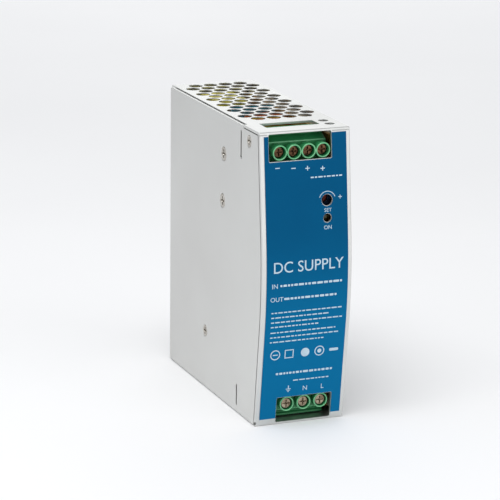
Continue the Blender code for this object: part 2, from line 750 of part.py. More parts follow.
def trimmer():
    """A square trimmer on the board whose rotor faces the front, and the rotor with its slot."""
    y = (-106.0, -100.0)
    half = 3.4
    z = z_of(ADJUST_H)
    body = box("trimmer_body", (ADJUST_X - half, BOARD_FACE_X), y, (z - half, z + half))
    cut(body, rod("trimmer_well", "Y", (ADJUST_X, y[0] - 1, z), 4.0, 2.3, 16))
    finish(body, "blue")
    profile = [(0.0, 2.6), (1.9, 2.6), (1.9, 0.0), (0.0, 0.0)]
    rotor = turned("trimmer_rotor", profile, 16, (math.pi / 2, 0, 0), (ADJUST_X, y[0] + 2.6, z))
    slot = box("rotor_slot", (ADJUST_X - 0.35, ADJUST_X + 0.35), (y[0] - 1, y[0] + 0.9), (z - 1.6, z + 1.6))
    finish(cut(rotor, slot), "brass")


def status_light():
    """A round-ended lamp that looks through the hole under the trimmer, on a foot from the board."""
    profile = [(0.0, 4.6), (0.8, 4.4), (1.3, 3.8), (1.45, 3.0), (1.45, 0.0), (0.0, 0.0)]
    z = z_of(STATUS_H)
    lamp = turned("status_light", profile, 12, (math.pi / 2, 0, 0), (ADJUST_X, -105.0, z))
    foot = box("status_foot", (ADJUST_X - 1.0, BOARD_FACE_X), (-106.5, -105.2), (z - 1.0, z + 1.0))
    return finish(join(lamp, foot), "lens")


def electronics():
    main_board()
    insulation_sheet()
    transformer()
    trimmer()
    status_light()
    fuse()
    capacitor(*BULK_CAPACITOR, "black", 20)
    for can in OUTPUT_CAPACITORS:
        capacitor(*can, "sleeve", 16)
    ring_part(*OUTPUT_INDUCTOR, 4.5, "copper")
    ring_part(*LINE_CHOKE, 4.0, "copper")
    on_board("line_filter_capacitor", -80.0, 42.0, (15.0, 9.0, 26.0), "yellow")
    on_board("bridge_rectifier", -37.0, 16.0, (17.0, 4.0, 22.0), "black", 1.0)
    on_board("surge_absorber", -70.0, 50.0, (13.0, 4.5, 12.0), "blue", 1.0)
    heatsink("input_heatsink", (-60.0, -32.0), (15.0, 46.0), COVER_SCREWS[3:])
    heatsink("output_heatsink", (-84.0, -58.0), (80.0, 115.0), COVER_SCREWS[1:3])
    power_device("switching_transistor", -43.0, 36.5)
    power_device("output_rectifier", -68.0, 98.2)


# ---------------------------------------------------------------- rail clip


def clip_plate():
    """A pressed steel plate: raised rail seat, upper hook, latch guides and the spring's fixed tab."""
    plate = box("clip_plate", (-PLATE_HALF, PLATE_HALF), CLIP_Y, (-19.0, 19.7))
    # The seat is an H, so that neither hook stands over it.
    arm = (9.6, PLATE_HALF)
    seat_y = (CLIP_Y[1] - 0.5, 0.0)
    seat_z = (-RAIL_HALF, RAIL_HALF)
    join(
        plate,
        box("seat_right", arm, seat_y, seat_z),
        box("seat_left", (-arm[1], -arm[0]), seat_y, seat_z),
        box("seat_bar", (-10.0, 10.0), seat_y, (-6.0, 6.0)),
        box("hook_root", (-HOOK_HALF, HOOK_HALF), (CLIP_Y[0], LIP_Y[1]), (18.5, 19.7)),
        box("hook_lip", (-HOOK_HALF, HOOK_HALF), LIP_Y, (LIP_TIP_Z, 19.2)),
        box("tail", (-10.0, 10.0), CLIP_Y, (-50.0, -18.5)),
        box("spring_stop", (-2.2, 2.2), (CLIP_Y[0], 5.0), (-46.4, -45.2)),
    )
    for side in (-1, 1):
        wall = sorted((side * 8.8, side * 10.0))
        roof = sorted((side * 7.3, side * 10.0))
        join(
            plate,
            box(f"guide_wall_{side}", wall, (CLIP_Y[0], 2.5), GUIDE_Z),
            box(f"guide_roof_{side}", roof, (1.3, 2.5), GUIDE_Z),
        )
    holes = [rod(f"plate_hole_{z}", "Y", (0, -3, z), 5, 1.8, 10) for z in RIVET_Z]
    cut(plate, merged("plate_rivet_holes", holes))
    return finish(plate, "zinc")


def clip_latch():
    """The sliding lower hook, with its spring window, upper spring tab and a slot for a screwdriver."""
    latch = box("clip_latch", (-LATCH_HALF, LATCH_HALF), LATCH_Y, (-62.0, -18.2), (0.0, 0.4, -30.0))
    join(
        latch,
        box("latch_shoulder", (-LATCH_HALF, LATCH_HALF), (LATCH_Y[0], LIP_Y[1]), (-20.4, -18.1)),
        box("latch_lip", (-LATCH_HALF, LATCH_HALF), LIP_Y, (-19.0, -LIP_TIP_Z)),
        box("latch_spring_tab", (-2.2, 2.2), (LATCH_Y[0], 5.0), (-30.0, -28.8)),
        box("latch_handle", (-6.0, 6.0), (LATCH_Y[0], 4.4), (-62.0, -60.8)),
    )
    cut(
        latch,
        box("spring_window", (-2.6, 2.6), (-1, 2), (-47.5, -30.0)),
        box("screwdriver_slot", (-3.2, 3.2), (-1, 2), (-58.6, -55.4)),
    )
    # A slope on the lip's tip lets it snap over the rail.
    corner = (LIP_Y[1] + 0.1, -LIP_TIP_Z + 0.1)
    outline = [(LIP_Y[0] + 0.4, corner[1]), corner, (corner[0], corner[1] - 1.7)]
    return finish(cut(latch, sheet("lip_slope", outline, (-12, 12), "YZ")), "zinc")


def latch_spring():
    """A compression spring along Z, pressed between the plate's stop and the latch's tab."""
    curve = bpy.data.curves.new("latch_spring", "CURVE")
    curve.dimensions = "3D"
    curve.bevel_depth = SPRING_WIRE * MM
    curve.bevel_resolution = 1
    curve.use_fill_caps = True
    per_turn = 10
    count = SPRING_TURNS * per_turn + 1
    spline = curve.splines.new("POLY")
    spline.points.add(count - 1)
    low, high = SPRING_Z[0] + SPRING_WIRE, SPRING_Z[1] - SPRING_WIRE
    for i, point in enumerate(spline.points):
        angle = 2 * math.pi * i / per_turn
        x = SPRING_RADIUS * math.cos(angle)
        y = SPRING_Y + SPRING_RADIUS * math.sin(angle)
        z = low + (high - low) * i / (count - 1)
        point.co = (x * MM, y * MM, z * MM, 1.0)
    spring = bpy.data.objects.new("latch_spring", curve)
    PARTS.objects.link(spring)
    return finish(spring, "steel")


def clip_rivets():
    for name, z in zip(("clip_rivet_upper", "clip_rivet_lower"), RIVET_Z):
        head_y = CLIP_Y[1] + 0.1
        profile = [(0.0, 0.8), (1.2, 0.7), (2.4, 0.2), (2.6, 0.0), (1.4, 0.0), (1.4, -3.4), (0.0, -3.4)]
        finish(turned(name, profile, 12, (-math.pi / 2, 0, 0), (0.0, head_y, z)), "steel")


def rail_clip():
    clip_plate()
    clip_latch()
    latch_spring()
    clip_rivets()


chassis_shell()
side_cover()
front_label()
cover_screws()
terminals(OUTPUT)
terminals(INPUT)
electronics()
rail_clip()
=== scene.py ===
import math
import random

import bmesh
import bpy
from mathutils import Matrix, Vector


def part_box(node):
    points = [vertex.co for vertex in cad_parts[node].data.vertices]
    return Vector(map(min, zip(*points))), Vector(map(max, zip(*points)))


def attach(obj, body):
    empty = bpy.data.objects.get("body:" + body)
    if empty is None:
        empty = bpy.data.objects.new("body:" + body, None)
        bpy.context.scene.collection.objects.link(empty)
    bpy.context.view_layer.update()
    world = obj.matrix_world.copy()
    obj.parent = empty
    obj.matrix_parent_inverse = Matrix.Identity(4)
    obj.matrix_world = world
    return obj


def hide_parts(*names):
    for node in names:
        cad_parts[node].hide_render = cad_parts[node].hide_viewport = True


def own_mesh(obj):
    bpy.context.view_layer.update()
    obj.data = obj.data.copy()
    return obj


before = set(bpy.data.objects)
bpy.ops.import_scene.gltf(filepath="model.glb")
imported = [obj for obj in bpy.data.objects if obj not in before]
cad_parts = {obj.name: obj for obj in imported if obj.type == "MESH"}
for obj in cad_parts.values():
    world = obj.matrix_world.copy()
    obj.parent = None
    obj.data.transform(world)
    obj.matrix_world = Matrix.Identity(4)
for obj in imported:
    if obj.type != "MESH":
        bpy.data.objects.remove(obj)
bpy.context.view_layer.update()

# The looks of a slim DIN rail power supply. Shapes are built in millimetres in the frame's own axes:
# X right as seen from the front, Y to the back, Z up. A height is measured up from the case's bottom face.

MM = 0.001
SEED = 7

# Case
SHEET = 1.0
SEAM = 0.25
COVER_X = (-20.0, -18.8)
POCKET_X = -18.3
EAR_BACK_Y = -91.0
BACK_Y = -2.0
COVER_BACK_Y = -4.9
COVER_CORNER = 1.2
CASE_HEIGHT = 125.2
RAIL_HEIGHT = 65.6
HALF_WIDTH = 20.0
FLANGE_WIDTH = 8.0
BEND_RADIUS = 0.9
FRONT_BEND = 0.5
FRONT_SEAM = 0.75
VENT_SHEET = 0.5
FLANGE_X = (POCKET_X, POCKET_X + SHEET)
STANDOFF_RADIUS = 3.0
RIVET_HOLE = 1.8
RIVET_Z = (10.0, -10.0)
COVER_SCREW_HOLE = 1.8
RELIEF_HOLE = (-19.75, 1.3, 0.65)
SEAM_HEIGHT = CASE_HEIGHT - SHEET - 0.15
SEAM_DEPTH = 0.45
IN_FRONT = -118.0

# Front panel: two straight stretches that meet in a soft bend
KNEE_HEIGHT = 61.2
LOWER_SLOPE = 0.1230
UPPER_SLOPE = 0.0973
BEND_HALF = 20.0
BEND_STEPS = 16
LABEL_GAP = 0.1
LABEL_FACE = 0.3
LABEL_X = (-18.0, 18.2)
LABEL_H = (2.9, 123.4)
# Half the height over which the label's painted light blends in across the bend
LABEL_PAINTED_LIGHT_FADE = 25.0
PRINT_PROUD = 0.05
SIGN_GAP = 0.2

# Vents
VENT_ROWS = 13
VENT_PITCH = 7.02
VENT_ROW_PITCH = 6.08
VENT_RADIUS = 3.05
VENT_MIDDLE_X = 1.0
VENT_FIRST_Y = -8.2
VENT_SIDES = 28
THINNED_X = (-16.9, 18.3)
THINNED_Y = (-86.5, -4.5)
SMALL_HOLES = dict(x=14.5, ys=(-93.4, -100.0), radius=2.1)

# Terminals
WINDOW_Y = (-99.5, -91.2)
BLOCK_Y = (-104.0, -91.0)
BLOCK_DEEP = 11.6
SCREW_DEEP = 7.2
COLLAR_RADIUS = 3.2
COLLAR_BORE = 2.6
HEAD_RADIUS = 2.2
CROSS_ARM = 1.55
SHANK_HOLE = 1.85
CAVITY_Y = (-103.0, -92.4)
CAVITY_DEEP = (4.4, 10.0)
FUNNEL_Y = (-97.5, -93.2)
FLARE_Y = (-98.0, -92.7)
PIN_SLOT_Y = (-98.4, -90.0)
PIN_SLOT_DEEP = (9.8, 11.2)
LIP_DEEP = 3.6
OUTPUT = dict(name="output", poles=4, pitch=6.35, middle_x=-1.5, face=123.6, inward=-1, funnel=2.2)
OUTPUT.update(window_x=(-13.3, 10.3), cutout_x=(-16.0, 11.6), cutout_h=(113.0, 124.2), head=2.9, slot=0.32)
INPUT = dict(name="input", poles=3, pitch=7.62, middle_x=1.7, face=1.6, inward=1, funnel=2.6)
INPUT.update(window_x=(-9.6, 13.0), cutout_x=(-10.7, 13.9), cutout_h=(1.0, 12.0), head=2.6, slot=0.25)

# Pieces inside
BOARD_SCREWS = ("board_screw_front", "board_screw_rear")
FUSE_CAP = 5.0
TAPE_BAND = 3.0
SPRING_WIRE = 0.3
SPRING_TURNS = 7

# Controls behind the front panel: x, height and radius of their holes, as for the relief hole
ADJUST = (9.2, 95.8, 2.35)
STATUS = (9.2, 88.4, 1.75)

# Side cover: each screw's name, y, height and head radius; each tab slot's y, low and high
SHANK_RADIUS = 1.4
CROSS_HALF = 0.36
COVER_SCREWS = (
    ("cover_screw", -97.0, 119.6, 2.5),
    ("output_heatsink_screw_upper", -68.9, 108.4, 3.0),
    ("output_heatsink_screw_lower", -67.8, 88.0, 3.0),
    ("input_heatsink_screw", -48.5, 25.5, 2.5),
)
TAB_SLOTS = ((-88.5, 110.8, 122.4), (-86.0, 3.2, 12.3))

# Stage: the camera's place in metres and its angles in degrees
FLOOR_HALF = 9000
LENS_MM = 183.28
SENSOR_MM = 36.0
CAMERA_SHIFT = -0.0103
CAMERA_AT = (-0.4006, -1.0369, 0.2767)
CAMERA_TURN = -22.10
CAMERA_DOWN = 14.72
CAMERA_ROLL = 0.66


# ---------------- mesh helpers


def z_of(height):
    return height - RAIL_HEIGHT


def node_box(node):
    """The lowest and highest corners of a CAD node, in millimetres."""
    low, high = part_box(node)
    return low / MM, high / MM


FRONT_Y = node_box("front_label")[0].y


def front_y(height):
    """Y of the front panel's outer face at a height: straight, softly bent, straight."""
    bend = 2 * BEND_HALF
    spread = LOWER_SLOPE + UPPER_SLOPE
    apex = LOWER_SLOPE * BEND_HALF - LOWER_SLOPE**2 * bend / (2 * spread)
    knee_y = FRONT_Y + LABEL_FACE - apex
    along = height - (KNEE_HEIGHT - BEND_HALF)
    if along <= 0:
        return knee_y + LOWER_SLOPE * (KNEE_HEIGHT - height)
    if along >= bend:
        return knee_y + UPPER_SLOPE * (height - KNEE_HEIGHT)
    return knee_y + LOWER_SLOPE * (BEND_HALF - along) + spread * along**2 / (2 * bend)


def front_outline(low, high, shift=0.0):
    """Points (y, z) up the front face from one height to another, moved back by shift."""
    bend = [KNEE_HEIGHT - BEND_HALF + 2 * BEND_HALF * i / BEND_STEPS for i in range(BEND_STEPS + 1)]
    return [(front_y(h) + shift, z_of(h)) for h in [low] + bend + [high]]


PLANES = {"YZ": (2, 0, 1), "XY": (0, 1, 2), "XZ": (0, 2, 1)}
AXES = {
    "X": Matrix.Rotation(math.pi / 2, 4, "Y"),
    "Y": Matrix.Rotation(-math.pi / 2, 4, "X"),
    "Z": Matrix.Identity(4),
    "-X": Matrix.Rotation(-math.pi / 2, 4, "Y"),
    "-Y": Matrix.Rotation(math.pi / 2, 4, "X"),
}


def facing_out(bm):
    bmesh.ops.recalc_face_normals(bm, faces=bm.faces)
    return bm


def prism(outline, across, plane):
    """A flat outline in two axes, closed between two values of the third."""
    bm = bmesh.new()
    order = PLANES[plane]
    ends = []
    for w in across:
        points = [(u, v, w) for u, v in outline]
        ends.append([bm.verts.new([point[i] for i in order]) for point in points])
        bm.faces.new(ends[-1])
    for i in range(len(outline)):
        j = (i + 1) % len(outline)
        bm.faces.new((ends[0][i], ends[0][j], ends[1][j], ends[1][i]))
    return facing_out(bm)


def block(x, y, z):
    bm = bmesh.new()
    size = Matrix.Diagonal((x[1] - x[0], y[1] - y[0], z[1] - z[0], 1.0))
    middle = Matrix.Translation((sum(x) / 2, sum(y) / 2, sum(z) / 2))
    bmesh.ops.create_cube(bm, size=1.0, matrix=middle @ size)
    return bm


def rod(axis, start, length, radius, far_radius=None, sides=24):
    bm = bmesh.new()
    far_radius = radius if far_radius is None else far_radius
    turn = Matrix.Translation(start) @ AXES[axis] @ Matrix.Translation((0, 0, length / 2))
    bmesh.ops.create_cone(
        bm, cap_ends=True, segments=sides, radius1=radius, radius2=far_radius, depth=length, matrix=turn
    )
    return bm


def turned(profile, axis, origin, sides=40):
    """A profile of (radius, distance along the axis) turned round an axis through origin."""
    bm = bmesh.new()
    rings = []
    for i in range(sides):
        angle = 2 * math.pi * i / sides
        rings.append([bm.verts.new((r * math.cos(angle), r * math.sin(angle), t)) for r, t in profile])
    for ring, following in zip(rings, rings[1:] + rings[:1]):
        for j in range(len(profile) - 1):
            if profile[j][0] or profile[j + 1][0]:
                bm.faces.new((ring[j], following[j], following[j + 1], ring[j + 1]))
    bmesh.ops.remove_doubles(bm, verts=bm.verts, dist=1e-4)
    bm.transform(Matrix.Translation(origin) @ AXES[axis])
    return facing_out(bm)


def tube(path, radius, sides=8, closed=False):
    """A round wire along points, with flat ends."""
    bm = bmesh.new()
    points = [Vector(p) for p in path]
    count = len(points)
    rings = []
    normal = None
    for i, point in enumerate(points):
        ahead = points[(i + 1) % count] if closed or i < count - 1 else point
        behind = points[i - 1] if closed or i > 0 else point
        along = (ahead - behind).normalized()
        if normal is None:
            normal = along.orthogonal().normalized()
        normal = (normal - along * normal.dot(along)).normalized()
        side = along.cross(normal)
        ring = []
        for k in range(sides):
            angle = 2 * math.pi * k / sides
            ring.append(bm.verts.new(point + radius * (normal * math.cos(angle) + side * math.sin(angle))))
        rings.append(ring)
    pairs = list(zip(rings, rings[1:] + (rings[:1] if closed else [])))
    for ring, following in pairs:
        for k in range(sides):
            m = (k + 1) % sides
            bm.faces.new((ring[k], following[k], following[m], ring[m]))
    if not closed:
        bm.faces.new(rings[0])
        bm.faces.new(rings[-1])
    return facing_out(bm)


def together(parts):
    """One mesh of several that don't touch."""
    bm = bmesh.new()
    for part in parts:
        mesh = bpy.data.meshes.new("part")
        part.to_mesh(mesh)
        part.free()
        bm.from_mesh(mesh)
        bpy.data.meshes.remove(mesh)
    return bm


def carve(bm, parts, operation="DIFFERENCE"):
    """bm with each of the parts cut out of it, or joined to it."""
    for part in parts:
        ends = []
        for shape in (bm, part):
            mesh = bpy.data.meshes.new("carving")
            shape.to_mesh(mesh)
            shape.free()
            ends.append(bpy.data.objects.new("carving", mesh))
            bpy.context.scene.collection.objects.link(ends[-1])
        modifier = ends[0].modifiers.new("carve", "BOOLEAN")
        modifier.operation = operation
        modifier.solver = "EXACT"
        modifier.object = ends[1]
        evaluated = ends[0].evaluated_get(bpy.context.evaluated_depsgraph_get())
        bm = bmesh.new()
        bm.from_mesh(evaluated.to_mesh())
        evaluated.to_mesh_clear()
        for end in ends:
            mesh = end.data
            bpy.data.objects.remove(end)
            bpy.data.meshes.remove(mesh)
    return bm


def sharp_edges(bm, angle):
    limit = math.radians(angle)
    return [e for e in bm.edges if len(e.link_faces) == 2 and e.calc_face_angle() > limit]


def rounded(bm, width, segments=2, angle=35, where=None):
    """Sharp edges rounded, all of them or those for which where(edge's middle) holds."""
    bmesh.ops.remove_doubles(bm, verts=bm.verts, dist=0.002)
    flat = math.radians(0.4)
    bmesh.ops.dissolve_limit(bm, angle_limit=flat, verts=bm.verts, edges=bm.edges)
    edges = sharp_edges(bm, angle)
    if where:
        edges = [e for e in edges if where((e.verts[0].co + e.verts[1].co) / 2)]
    bmesh.ops.bevel(
        bm, geom=edges, offset=width, segments=segments, profile=0.5, affect="EDGES", clamp_overlap=False
    )
    return bm


def from_cad(node):
    """The node's own shape in millimetres, its split corners welded."""
    bm = bmesh.new()
    bm.from_mesh(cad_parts[node].data)
    bm.transform(Matrix.Scale(1 / MM, 4))
    bmesh.ops.remove_doubles(bm, verts=bm.verts, dist=0.002)
    return facing_out(bm)


def piece(name, bm, look, node=None, body="case", smooth=38, weighted=True):
    """A finished piece on its body, which stands for its CAD node."""
    bm.transform(Matrix.Scale(MM, 4))
    mesh = bpy.data.meshes.new(name)
    bm.to_mesh(mesh)
    bm.free()
    mesh.shade_smooth()
    mesh.set_sharp_from_angle(angle=math.radians(smooth))
    for each in look if isinstance(look, list) else [look]:
        mesh.materials.append(each)
    obj = bpy.data.objects.new(name, mesh)
    bpy.context.scene.collection.objects.link(obj)
    if weighted:
        normals = obj.modifiers.new("normals", "WEIGHTED_NORMAL")
        normals.keep_sharp = True
    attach(obj, body)
    if node:
        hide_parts(node)
    return obj


def paint(bm, index):
    """Gives every face of a mesh one material index, before it is put together with others."""
    for face in bm.faces:
        face.material_index = index
    return bm


# ---------------- finishes


def tone(code):
    """A linear colour from an sRGB hex code."""
    values = [int(code[i : i + 2], 16) / 255 for i in (0, 2, 4)]
    linear = [v / 12.92 if v <= 0.04045 else ((v + 0.055) / 1.055) ** 2.4 for v in values]
    return (*linear, 1.0)


def wire_up(tree, links):
    for source, output, target, socket in links:
        tree.links.new(source.outputs[output], target.inputs[socket])


def put(node, **values):
    """Sets a shader node's inputs, an underscore standing for a space in a name, and returns the node."""
    for socket, value in values.items():
        node.inputs[socket.replace("_", " ")].default_value = value
    return node


def surface(
    name, colour, other, rough, metal=0.0, patch=90.0, grain=1500.0, relief=0.15, stretch=(1, 1, 1), **fixed
):
    """A colour that drifts in patches between two tones, with uneven gloss and a fine raised grain."""
    made = bpy.data.materials.new(name)
    made.use_nodes = True
    tree = made.node_tree
    shader = put(tree.nodes["Principled BSDF"], Metallic=metal, **fixed)
    place = tree.nodes.new("ShaderNodeTexCoord")
    aim = put(tree.nodes.new("ShaderNodeMapping"), Scale=stretch)
    patches = put(tree.nodes.new("ShaderNodeTexNoise"), Scale=patch, Detail=5.0)
    fine = put(tree.nodes.new("ShaderNodeTexNoise"), Scale=grain, Detail=3.0)
    blend = tree.nodes.new("ShaderNodeMix")
    blend.data_type = "RGBA"
    put(blend, A=tone(colour), B=tone(other))
    contrast = put(tree.nodes.new("ShaderNodeMapRange"), From_Min=0.35, From_Max=0.65)
    gloss = put(tree.nodes.new("ShaderNodeMapRange"), To_Min=rough[0], To_Max=rough[1])
    bump = put(tree.nodes.new("ShaderNodeBump"), Strength=relief, Distance=0.0001)
    wire_up(
        tree,
        (
            (place, "Object", aim, "Vector"),
            (aim, "Vector", patches, "Vector"),
            (aim, "Vector", fine, "Vector"),
            (patches, "Fac", contrast, "Value"),
            (contrast, "Result", blend, "Factor"),
            (blend, "Result", shader, "Base Color"),
            (patches, "Fac", gloss, "Value"),
            (gloss, "Result", shader, "Roughness"),
            (fine, "Fac", bump, "Height"),
            (bump, "Normal", shader, "Normal"),
        ),
    )
    return made


def node_of(made, kind):
    return next(n for n in made.node_tree.nodes if n.bl_idname == kind)


def over_colour(made, source, output, from_range, to_range, colour):
    """Mixes a second colour over a surface's own, where a node's output rises through a range."""
    tree = made.node_tree
    amount = put(tree.nodes.new("ShaderNodeMapRange"), From_Min=from_range[0], From_Max=from_range[1])
    put(amount, To_Min=to_range[0], To_Max=to_range[1])
    own = node_of(made, "ShaderNodeMix")
    mix = tree.nodes.new("ShaderNodeMix")
    mix.data_type = "RGBA"
    put(mix, B=tone(colour))
    wire_up(
        tree,
        (
            (source, output, amount, "Value"),
            (amount, "Result", mix, "Factor"),
            (own, "Result", mix, "A"),
            (mix, "Result", node_of(made, "ShaderNodeBsdfPrincipled"), "Base Color"),
        ),
    )
    return amount


def label_blue():
    """Blue film, deep blue above and painted lighter below the bend: painted light on the lower stretch of
    the panel.
    """
    made = surface(
        "label_blue", "00527D", "005580", (0.36, 0.46), patch=40, grain=4000, relief=0.05,
        Specular_IOR_Level=0.04,
    )
    split = made.node_tree.nodes.new("ShaderNodeSeparateXYZ")
    wire_up(made.node_tree, ((node_of(made, "ShaderNodeTexCoord"), "Object", split, "Vector"),))
    # The lighter blue below the bend is painted light, blended in over the bend's height
    painted_light_span = [z_of(KNEE_HEIGHT + shift) * MM for shift in (LABEL_PAINTED_LIGHT_FADE, -LABEL_PAINTED_LIGHT_FADE)]
    over_colour(made, split, "Z", painted_light_span, (0.0, 1.0), "066D9E").interpolation_type = "SMOOTHSTEP"
    return made


def board_brown():
    """Laminate with the faint pattern of copper tracks under its lacquer."""
    made = surface("board_brown", "6E4A22", "5A3A1A", (0.35, 0.55), patch=200, grain=3000, relief=0.1)
    tracks = put(made.node_tree.nodes.new("ShaderNodeTexVoronoi"), Scale=240.0)
    tracks.distance = "MANHATTAN"
    wire_up(made.node_tree, ((node_of(made, "ShaderNodeMapping"), "Vector", tracks, "Vector"),))
    over_colour(made, tracks, "Distance", (0.30, 0.36), (0.0, 1.0), "8C6B34")
    return made


def winding_tape():
    """Polyester tape whose layers show as even bands a few millimetres apart."""
    made = surface("winding_tape", "D8CC4A", "C9BD3C", (0.3, 0.45), patch=160, grain=2500, relief=0.2)
    wave = made.node_tree.nodes.new("ShaderNodeTexWave")
    wave.bands_direction = "X"
    put(wave, Scale=1 / (20 * TAPE_BAND * MM), Distortion=0.4)
    wire_up(made.node_tree, ((node_of(made, "ShaderNodeMapping"), "Vector", wave, "Vector"),))
    over_colour(made, wave, "Fac", (0.0, 0.25), (1.0, 0.0), "B3A733")
    return made


CASE_METAL = surface(
    "case_metal", "D9DAD8", "CFD0CE", (0.30, 0.40), metal=0.9, patch=14, grain=5000, relief=0.06
)
COVER_METAL = surface(
    "cover_metal", "D3D4D2", "CBCBC9", (0.30, 0.38), metal=0.9, patch=9, grain=5000, relief=0.06
)
LABEL_BLUE = label_blue()
PRINT_WHITE = surface("print_white", "C6DAE6", "B9D0DF", (0.45, 0.6), patch=300, grain=4000, relief=0.05)
GREEN = surface("terminal_green", "2F8C54", "287E4A", (0.28, 0.42), patch=120, grain=2500, relief=0.12)
# The same plastic in a lighter green, a painted highlight for the collars' front rims and the lip
GREEN_PAINTED_HIGHLIGHT = surface("terminal_rim_painted_highlight", "7CC794", "66B680", (0.25, 0.38), patch=150, grain=2500, relief=0.08)
# Yellow-brown zinc tint darkened towards near black: partly the screws' own tint, partly painted shade from
# deep in the collars
SCREW_BRONZE_SHADED = surface("screw_bronze_painted_shade", "7A5C44", "3A2A20", (0.2, 0.42), metal=1.0, patch=700, grain=3000)
SCREW_PALE = surface("screw_pale", "AFA28C", "7D6D58", (0.14, 0.28), metal=1.0, patch=500, grain=3000)
ROTOR_RED = surface("trimmer_rotor", "A8432E", "8C3526", (0.35, 0.5), patch=300, grain=2500)
CAGE_STEEL = surface("cage_steel", "B9B4A6", "A39C8C", (0.28, 0.42), metal=1.0, patch=300, grain=3000)
BRASS = surface("contact_brass", "D0A65A", "B88C45", (0.25, 0.4), metal=1.0, patch=300, grain=3000)
SCREW_STEEL = surface("fastener_steel", "C6C2BA", "A29C93", (0.14, 0.28), metal=1.0, patch=350, grain=3500)
CLIP_STEEL = surface(
    "clip_steel", "C6C6C1", "B2B2AB", (0.26, 0.42), metal=1.0, patch=40, grain=3500, relief=0.1
)
SPRING_STEEL = surface("spring_steel", "B5B6B8", "9A9B9E", (0.18, 0.3), metal=1.0, patch=400, grain=4000)
ALUMINIUM = surface(
    "heatsink_aluminium", "D5D7D8", "C4C6C8", (0.3, 0.42), metal=1.0, patch=60, grain=1800,
    stretch=(1, 1, 0.05),
)
BOARD = board_brown()
FILM = surface("insulation_film", "E4DFCF", "D8D2BE", (0.35, 0.5), patch=50, grain=3000, relief=0.05)
TAPE = winding_tape()
FERRITE = surface("ferrite", "2A2B2E", "1D1E20", (0.45, 0.65), patch=400, grain=2500, relief=0.3)
BLACK = surface("device_black", "1C1D1F", "141416", (0.35, 0.5), patch=300, grain=5000, relief=0.2)
SLEEVE_BLACK = surface(
    "capacitor_sleeve", "1B1C22", "15161B", (0.22, 0.34), patch=60, grain=2500, relief=0.05
)
SLEEVE_TEAL = surface(
    "output_capacitor_sleeve", "0F5B66", "0B4B57", (0.2, 0.32), patch=60, grain=2500, relief=0.05
)
CAN_END = surface("capacitor_end", "C9CBCC", "B6B8BA", (0.25, 0.4), metal=1.0, patch=200, grain=4000)
COPPER = surface("copper_winding", "B8683A", "9A5029", (0.22, 0.36), metal=1.0, patch=500, grain=4000)
RING_CORE = surface("ring_core", "C9B24A", "B89F3C", (0.35, 0.5), patch=200, grain=2500)
YELLOW = surface("box_capacitor_yellow", "D9A91F", "CC9B17", (0.3, 0.42), patch=150, grain=2500)
BLUE_DISC = surface("absorber_blue", "27509A", "1D4288", (0.25, 0.4), patch=200, grain=1500, relief=0.3)
TRIMMER_BLUE = surface("trimmer_blue", "1A2C4C", "142440", (0.3, 0.45), patch=200, grain=2500)
CERAMIC = surface("fuse_ceramic", "E8E4DA", "DDD7CA", (0.3, 0.45), patch=200, grain=2500)
LENS = surface("lamp_lens", "6D6A50", "5F5C46", (0.12, 0.2), patch=200, grain=3000, Transmission_Weight=0.35)


# ---------------- case


def vent_centres():
    for row in range(VENT_ROWS):
        count = 4 + row % 2
        for i in range(count):
            yield VENT_MIDDLE_X + VENT_PITCH * (i - (count - 1) / 2), VENT_FIRST_Y - VENT_ROW_PITCH * row


def soft_box(x, y, z, radius, axis):
    """A box whose four corners along one axis are rounded, used to cut windows and slots."""
    wide, tall, across, plane = {"X": (y, z, x, "YZ"), "Y": (x, z, y, "XZ"), "Z": (x, y, z, "XY")}[axis]
    steps = 5
    outline = []
    for quarter, (u, v) in enumerate(((1, 1), (0, 1), (0, 0), (1, 0))):
        middle = (wide[u] + radius * (1 - 2 * u), tall[v] + radius * (1 - 2 * v))
        for k in range(steps + 1):
            angle = math.pi / 2 * (quarter + k / steps)
            outline.append((middle[0] + radius * math.cos(angle), middle[1] + radius * math.sin(angle)))
    return prism(outline, across, plane)


def arc_corner(before, corner, after, radius, steps=5):
    """Points that replace an outline's corner with an arc."""
    before, corner, after = Vector(before), Vector(corner), Vector(after)
    back = (before - corner).normalized()
    ahead = (after - corner).normalized()
    half = back.angle(ahead) / 2
    middle = corner + (back + ahead).normalized() * radius / math.sin(half)
    start = (corner + back * radius / math.tan(half) - middle).normalized()
    end = (corner + ahead * radius / math.tan(half) - middle).normalized()
    return [tuple(middle + radius * start.slerp(end, k / steps)) for k in range(steps + 1)]


def case_outline():
    """The case's side view, its four corners bent round."""
    face = front_outline(0.0, CASE_HEIGHT)
    top = (BACK_Y, z_of(CASE_HEIGHT))
    bottom = (BACK_Y, z_of(0.0))
    return (
        arc_corner(bottom, face[0], face[1], FRONT_BEND)
        + face[1:-1]
        + arc_corner(face[-2], face[-1], top, FRONT_BEND)
        + arc_corner(face[-1], top, bottom, BEND_RADIUS)
        + arc_corner(top, bottom, face[0], BEND_RADIUS)
    )


def case_hollow(shell):
    """The space inside, and the open side that the cover closes."""
    inner = front_outline(SHEET, CASE_HEIGHT - SHEET, SHEET)
    inner += [(BACK_Y - SHEET, z_of(CASE_HEIGHT - SHEET)), (BACK_Y - SHEET, z_of(SHEET))]
    beyond = 3.0
    under_ear = z_of(CASE_HEIGHT - SHEET)
    pocket = front_outline(-beyond, CASE_HEIGHT - SHEET, SHEET)
    pocket += [(EAR_BACK_Y, under_ear), (EAR_BACK_Y, under_ear + beyond), (beyond, under_ear + beyond)]
    pocket += [(beyond, z_of(-beyond))]
    shell = carve(shell, [prism(inner, (-HALF_WIDTH - 5, HALF_WIDTH - SHEET), "YZ")])
    return carve(shell, [prism(pocket, (-HALF_WIDTH - 1, POCKET_X), "YZ")])


